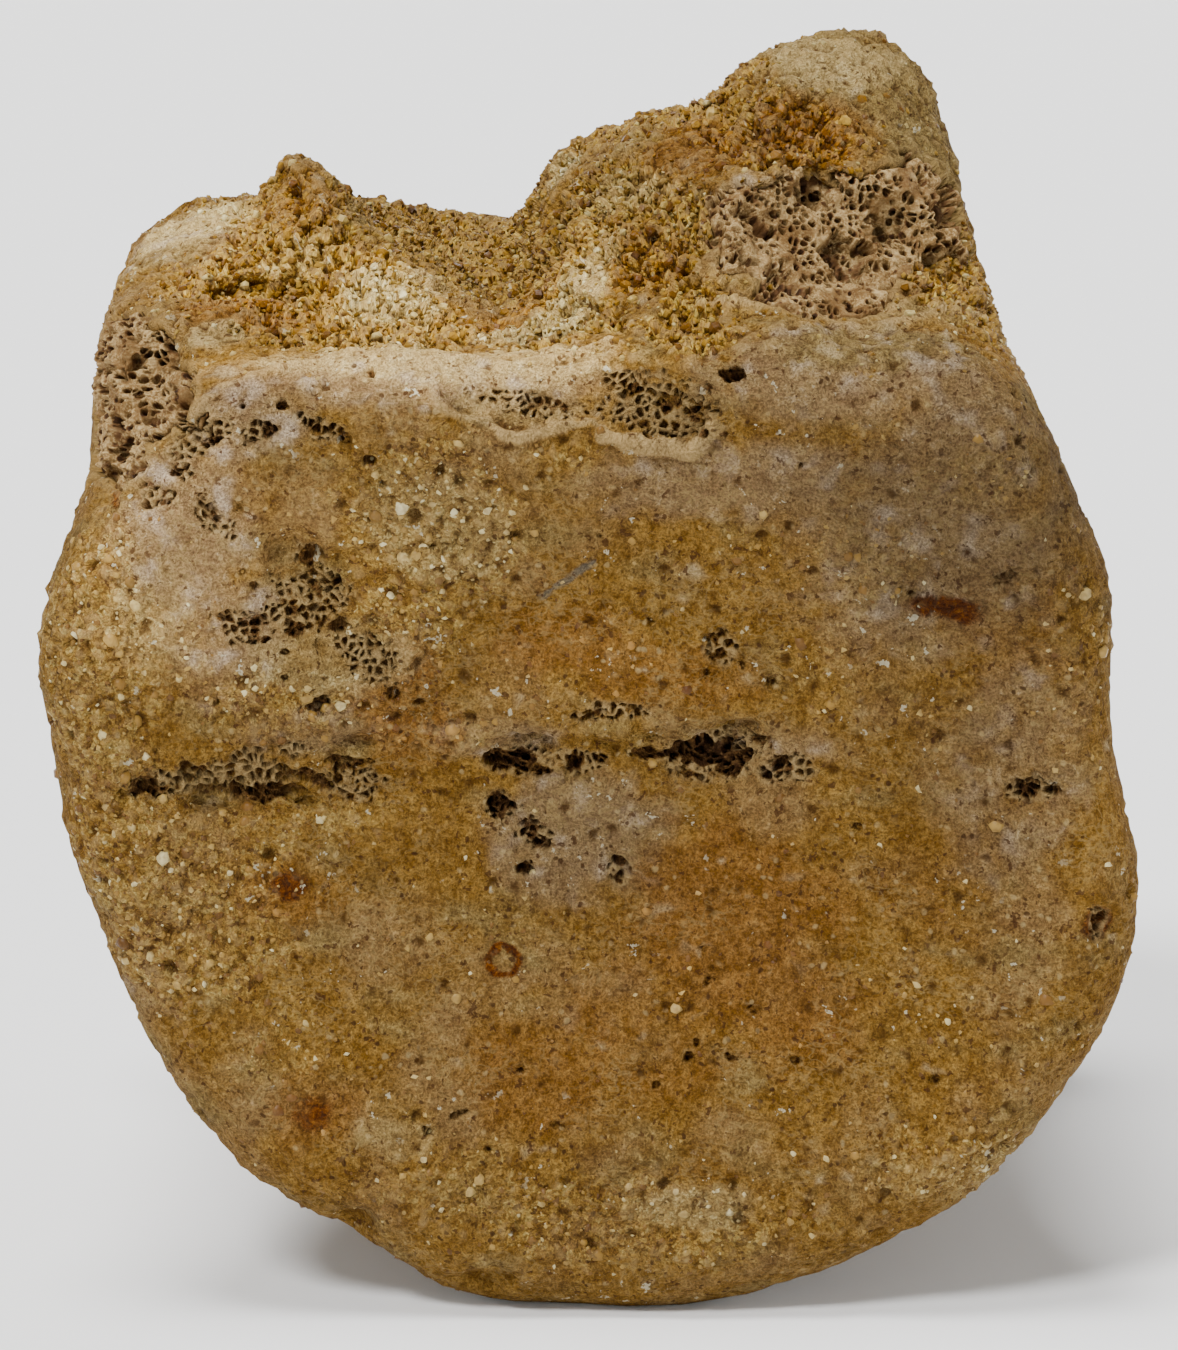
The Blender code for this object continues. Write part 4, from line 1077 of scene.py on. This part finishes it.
def grain_material(settings):
    """Quartz grains from pale to rust brown, with painted shade where they meet the crust."""
    material, graph, surface = new_material("quartz sand")
    place = graph.vector("SCALE", graph.out("ShaderNodeTexCoord", None, "Object"), Scale=1 / MM)
    tint, stood, iron, pale = (graph.painted(name) for name in ("tint", "stood", "iron", "pale"))
    plain = graph.colours(tint, (0.0, (0.1, 0.04, 0.003)), (0.25, (0.18, 0.08, 0.007)),
                          (0.5, tuple(settings.quartz)), (0.75, (0.42, 0.27, 0.06)),
                          (0.92, (0.55, 0.42, 0.16)), (0.99, (0.66, 0.56, 0.28)))
    stained = graph.colours(tint, (0.0, (0.07, 0.02, 0.001)), (0.4, (0.16, 0.052, 0.002)),
                            (0.75, (0.34, 0.14, 0.008)), (0.97, (0.54, 0.32, 0.05)))
    clear = graph.colours(tint, (0.0, (0.18, 0.1, 0.012)), (0.4, (0.42, 0.3, 0.08)),
                          (0.75, (0.58, 0.47, 0.2)), (0.96, (0.74, 0.65, 0.36)))
    colour = graph.layers(
        plain,
        (iron, 0.15, 0.9, 0.85, stained),
        (pale, 0.15, 0.9, 0.85, clear),
        (graph.noise(place, 2.2, 3.0), 0.42, 0.66, 0.45, (0.2, 0.1, 0.02)),
        # Painted shade at the feet of the grains, where they meet the crust.
        (stood, 0.3, -0.15, 0.9, (0.06, 0.024, 0.004)))
    high, amber = amber_crown(graph, place, pale)
    colour = graph.blend(amber, colour, (0.92, 0.88, 0.72), "MULTIPLY")
    # The grains take the same tone: partly their own tone, partly painted light and shade.
    look = lit_and_toned(graph, colour, graph.scaled(high, 0.08, 0.94), 0.5, 0.8, 1.3)
    graph.feed(surface, "Base Color", graph.out("ShaderNodeHueSaturation", look))
    surface.inputs["Roughness"].default_value = 0.34
    surface.inputs["Specular IOR Level"].default_value = 0.14
    graph.bump(surface, 0.5, 0.1, graph.noise(place, 4.0, 3.0))
    return material


def finish_piece(thing, main=False):
    """Brings a piece from millimetres to metres and fixes it to the frame."""
    thing.data.transform(Matrix.Scale(MM, 4))
    thing.data.update()
    if main:
        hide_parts(NODE)
    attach(thing, BODY)


class BoneSettings(PropertyGroup):
    mesh_size: FloatProperty(
        name="Mesh size", description="Edge length of the skin before it is thinned, in mm",
        default=0.3, min=0.2, max=2.0)
    triangles: IntProperty(
        name="Triangles", description="How many triangles the bone keeps", default=197000, min=20000)
    front_care: FloatProperty(
        name="Front care", description="How much more of its triangles the front keeps",
        default=0.01, min=0.0)
    lump_height: FloatProperty(
        name="Lump height", description="Height of the broad lumps, in mm", default=0.2, min=0.0)
    crust_height: FloatProperty(
        name="Crust height", description="Height of the beads of the sandy crust, in mm",
        default=0.26, min=0.0)
    pore_depth: FloatProperty(
        name="Pore depth", description="Depth of the open pores, in mm", default=0.5, min=0.0)
    cell_size: FloatProperty(
        name="Cell size", description="Width of the cells in the lacework of the front face, in mm",
        default=0.58, min=0.2)
    hollow_depth: FloatProperty(
        name="Hollow depth", description="Depth of the floor under spongy bone, in mm", default=2.4, min=0.0)
    ochre: FloatVectorProperty(
        name="Ochre", description="Main colour of the bone", subtype="COLOR",
        default=(0.2, 0.11, 0.026), min=0.0, max=1.0)
    mauve: FloatVectorProperty(
        name="Mauve", description="Colour of the smooth hard bone", subtype="COLOR",
        default=(0.242, 0.162, 0.078), min=0.0, max=1.0)
    orange: FloatVectorProperty(
        name="Orange", description="Colour of the iron-stained bone", subtype="COLOR",
        default=(0.196, 0.093, 0.024), min=0.0, max=1.0)


class SpongySettings(PropertyGroup):
    cell: FloatProperty(
        name="Cell size", description="Distance between the open cells, in mm", default=0.6, min=0.3)
    wall: FloatProperty(
        name="Wall", description="Half the thickness of the walls between cells, in mm",
        default=0.08, min=0.02)
    depth: FloatProperty(
        name="Depth", description="Depth of the deepest cells, in mm", default=1.6, min=0.1)
    triangles: IntProperty(
        name="Triangles", description="How many triangles each patch keeps", default=130000, min=20000)
    spongy: FloatVectorProperty(
        name="Spongy bone", description="Colour of the walls", subtype="COLOR",
        default=(0.216, 0.126, 0.043), min=0.0, max=1.0)


class SandSettings(PropertyGroup):
    seed: IntProperty(name="Seed", description="Changes where the grains lie", default=4, min=0)
    quartz: FloatVectorProperty(
        name="Quartz", description="Middle colour of the grains", subtype="COLOR",
        default=(0.33, 0.18, 0.02), min=0.0, max=1.0)


class StageSettings(PropertyGroup):
    elevation: FloatProperty(
        name="Camera elevation", description="How far above level the camera looks from",
        default=math.radians(12), subtype="ANGLE")
    distance: FloatProperty(
        name="Camera distance", description="From the camera to the bone",
        default=0.43, min=0.1, subtype="DISTANCE", unit="LENGTH")
    floor_colour: FloatVectorProperty(
        name="Floor colour", description="Colour of the floor and backdrop", subtype="COLOR",
        default=(0.93, 0.93, 0.925), min=0.0, max=1.0)


class FOSSIL_OT_bone(Operator):
    """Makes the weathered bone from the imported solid"""

    bl_idname = "fossil.bone"
    bl_label = "Bone"

    def execute(self, context):
        settings = context.scene.fossil_bone
        skin = bone_skin(settings.mesh_size)
        paint(skin.data, "fill", near_pits(points_of(skin.data), 0.7))
        add_nodes(skin, smoothing_tree(), {"Rounds": 10, "Fill rounds": 200})
        settled(skin)
        bone = new_object("bone", skin.data.copy())
        refine(bone.data, near_pits(centres_of(bone.data), 0.5), 2)
        keep_rest(bone.data)
        paint_skin(bone.data)
        add_nodes(bone, relief_tree(), {
            "Lump height": settings.lump_height, "Crust height": settings.crust_height,
            "Pore depth": settings.pore_depth, "Hollow depth": settings.hollow_depth,
            "Cell size": settings.cell_size})
        settled(bone)
        places = points_of(bone.data)
        plain = smooth_step(places[:, 1], FINE_FROM_Y, FINE_FROM_Y + FINE_EDGE)
        plain *= smooth_step(-places[:, 2], -FINE_FROM_Z, FINE_EDGE - FINE_FROM_Z)
        group = bone.vertex_groups.new(name="plain")
        shares = np.round(0.5 + 0.5 * plain, 1)
        for share in np.unique(shares):
            group.add(np.nonzero(shares == share)[0].tolist(), float(share), "REPLACE")
        thin_out(bone, settings.triangles, group.name, settings.front_care)
        places = points_of(bone.data)
        places[:, 2] = np.maximum(places[:, 2], 0.0)
        bone.data.vertices.foreach_set("co", places.ravel())
        bone.data.materials.clear()
        bone.data.materials.append(bone_material(settings))
        bone.data.shade_smooth()
        return {"FINISHED"}


class FOSSIL_OT_spongy(Operator):
    """Fills the broken patches with open spongy bone"""

    bl_idname = "fossil.spongy"
    bl_label = "Spongy bone"

    def execute(self, context):
        settings = context.scene.fossil_spongy
        skin = bpy.data.objects.get("skin")
        if skin is None:
            raise RuntimeError("make the bone first")
        material = sponge_material(settings)
        looks = {
            "spongy_right": {"Stretch": (1.0, 1.0, 1.1), "Tunnels": (0.15, -0.9, 0.4), "Unevenness": 0.9,
                             "Ledges": 0.35, "Pockets": 1.2},
            "spongy_left": {"Stretch": (0.8, 0.8, 1.15), "Tunnels": (-0.2, -0.9, 0.3), "Unevenness": 0.8,
                            "Ledges": 0.7, "Pockets": 1.0},
        }
        tree = sponge_tree()
        for name, lobes in SPONGY.items():
            centres = centres_of(skin.data).astype(float)
            reach = patch_reach(centres, lobes, 0.0)
            piece = slab(name, skin.data, reach < 1.3, 2.8)
            if len(piece.data.polygons) == 0:
                raise RuntimeError(f"{name} came out empty")
            points = points_of(piece.data).astype(float)
            paint(piece.data, "reach", patch_reach(points, lobes, ragged(points, 1.8, 2)))
            add_nodes(piece, tree, {"Material": material, "Cell": settings.cell, "Wall": settings.wall,
                                    "Depth": settings.depth, **looks[name]})
            settled(piece)
            thin_out(piece, settings.triangles)
        return {"FINISHED"}


class FOSSIL_OT_sand(Operator):
    """Scatters the cemented quartz grains"""

    bl_idname = "fossil.sand"
    bl_label = "Sand"

    def execute(self, context):
        settings = context.scene.fossil_sand
        bone = bpy.data.objects.get("bone")
        if bone is None:
            raise RuntimeError("make the bone first")
        mesh = bone.data
        height = points_of(mesh)[:, 2]
        sand = read(mesh, "sand")
        crown = smooth_step(height, 62.0, 65.0)
        paint(mesh, "crown_sand", sand * crown)
        paint(mesh, "body_sand", sand * (1 - crown))
        material = grain_material(settings)
        shapes = {"coarse": grain_shapes(8, 16, 11), "small": grain_shapes(6, 10, 12)}
        tree = sand_tree()
        for number, row in enumerate(SAND_PIECES):
            name, where, group, density, spacing, least, most, sharp, lift = row
            piece = new_object(name, mesh.copy())
            add_nodes(piece, tree, {
                "Shapes": shapes[group], "Material": material, "Where": where,
                "Grains for each mm2": density, "Spacing": spacing, "Smallest": least, "Largest": most,
                "Sharpness": sharp, "Lift": lift, "Rounded": where == "body_sand",
                "Seed": settings.seed + 20 * number})
            settled(piece)
        for group in shapes.values():
            for shape in list(group.objects):
                discard(shape)
            bpy.data.collections.remove(group)
        return {"FINISHED"}


def floor_mesh():
    """A wide flat floor that bends up into a low wall all round."""
    flat, bend, wall = FLOOR
    profile = [(flat, 0.0)]
    for step in range(1, BEND_STEPS + 1):
        turn = math.radians(90 * step / BEND_STEPS)
        profile.append((flat + bend * math.sin(turn), bend - bend * math.cos(turn)))
    profile.append((flat + bend, bend + wall))
    turns = [math.tau * corner / FLOOR_CORNERS for corner in range(FLOOR_CORNERS)]
    work = bmesh.new()
    rings = [[work.verts.new((reach * math.cos(turn), reach * math.sin(turn), height)) for turn in turns]
             for reach, height in profile]
    work.faces.new(rings[0])
    for inner, outer in zip(rings, rings[1:]):
        for corner in range(FLOOR_CORNERS):
            work.faces.new((inner[corner - 1], outer[corner - 1], outer[corner], inner[corner]))
    mesh = bpy.data.meshes.new("floor")
    work.to_mesh(mesh)
    work.free()
    mesh.shade_smooth()
    return mesh


class FOSSIL_OT_stage(Operator):
    """Sets up the floor, the lights and the camera"""

    bl_idname = "fossil.stage"
    bl_label = "Stage"

    def execute(self, context):
        settings = context.scene.fossil_stage
        scene = context.scene
        mesh = floor_mesh()
        material, graph, surface = new_material("pale floor")
        surface.inputs["Base Color"].default_value = (*settings.floor_colour, 1.0)
        surface.inputs["Roughness"].default_value = 0.9
        mesh.materials.append(material)
        new_object("floor", mesh)

        world = bpy.data.worlds.new("studio")
        world.use_nodes = True
        sky = world.node_tree.nodes["Background"].inputs
        sky["Color"].default_value = (1.0, 1.0, 1.0, 1.0)
        sky["Strength"].default_value = WORLD_STRENGTH
        scene.world = world
        for name, towards, spread, strength in LAMPS:
            light = bpy.data.lights.new(name, "SUN")
            light.angle = math.radians(spread)
            light.energy = strength
            lamp = bpy.data.objects.new(name, light)
            lamp.location = towards
            lamp.rotation_euler = Vector(towards).to_track_quat("Z", "Y").to_euler()
            scene.collection.objects.link(lamp)

        lens = bpy.data.cameras.new("camera")
        lens.sensor_fit = "VERTICAL"
        lens.sensor_height = SENSOR
        lens.lens = LENS
        lens.clip_start = 0.01
        camera = bpy.data.objects.new("camera", lens)
        target = Vector(CAMERA_TARGET) * MM
        away = Vector((0.0, -math.cos(settings.elevation), math.sin(settings.elevation)))
        camera.location = target + away * settings.distance
        camera.rotation_euler = Euler((math.pi / 2 - settings.elevation, 0.0, 0.0))
        scene.collection.objects.link(camera)
        scene.camera = camera
        return {"FINISHED"}


class FOSSIL_OT_frame(Operator):
    """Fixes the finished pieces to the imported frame"""

    bl_idname = "fossil.frame"
    bl_label = "Fix to the frame"

    def execute(self, context):
        discard(bpy.data.objects["skin"])
        for name in ("bone", *SPONGY, *(row[0] for row in SAND_PIECES)):
            finish_piece(bpy.data.objects[name], main=name == "bone")
        return {"FINISHED"}


class FOSSIL_PT_panel(Panel):
    """Lists the settings and the makers"""

    bl_idname = "FOSSIL_PT_panel"
    bl_label = "Fossil vertebra"
    bl_space_type = "VIEW_3D"
    bl_region_type = "UI"
    bl_category = "Fossil"

    def draw(self, context):
        for title, operator, settings in SECTIONS:
            box = self.layout.box()
            box.label(text=title)
            group = getattr(context.scene, settings)
            for name in group.__annotations__:
                box.prop(group, name)
            box.operator(operator)
        self.layout.operator(FOSSIL_OT_frame.bl_idname)


SECTIONS = (
    ("Bone", FOSSIL_OT_bone.bl_idname, "fossil_bone"),
    ("Spongy bone", FOSSIL_OT_spongy.bl_idname, "fossil_spongy"),
    ("Sand", FOSSIL_OT_sand.bl_idname, "fossil_sand"),
    ("Stage", FOSSIL_OT_stage.bl_idname, "fossil_stage"),
)
SETTINGS = {
    "fossil_bone": BoneSettings,
    "fossil_spongy": SpongySettings,
    "fossil_sand": SandSettings,
    "fossil_stage": StageSettings,
}
CLASSES = (
    *SETTINGS.values(),
    FOSSIL_OT_bone, FOSSIL_OT_spongy, FOSSIL_OT_sand, FOSSIL_OT_stage, FOSSIL_OT_frame, FOSSIL_PT_panel,
)


def register():
    for kind in CLASSES:
        bpy.utils.register_class(kind)
    for name, kind in SETTINGS.items():
        setattr(bpy.types.Scene, name, PointerProperty(type=kind))


def unregister():
    for name in SETTINGS:
        delattr(bpy.types.Scene, name)
    for kind in reversed(CLASSES):
        bpy.utils.unregister_class(kind)


def main():
    register()
    bpy.ops.fossil.stage()
    bpy.ops.fossil.bone()
    bpy.ops.fossil.spongy()
    bpy.ops.fossil.sand()
    bpy.ops.fossil.frame()
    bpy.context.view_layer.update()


if __name__ == "__main__":
    main()
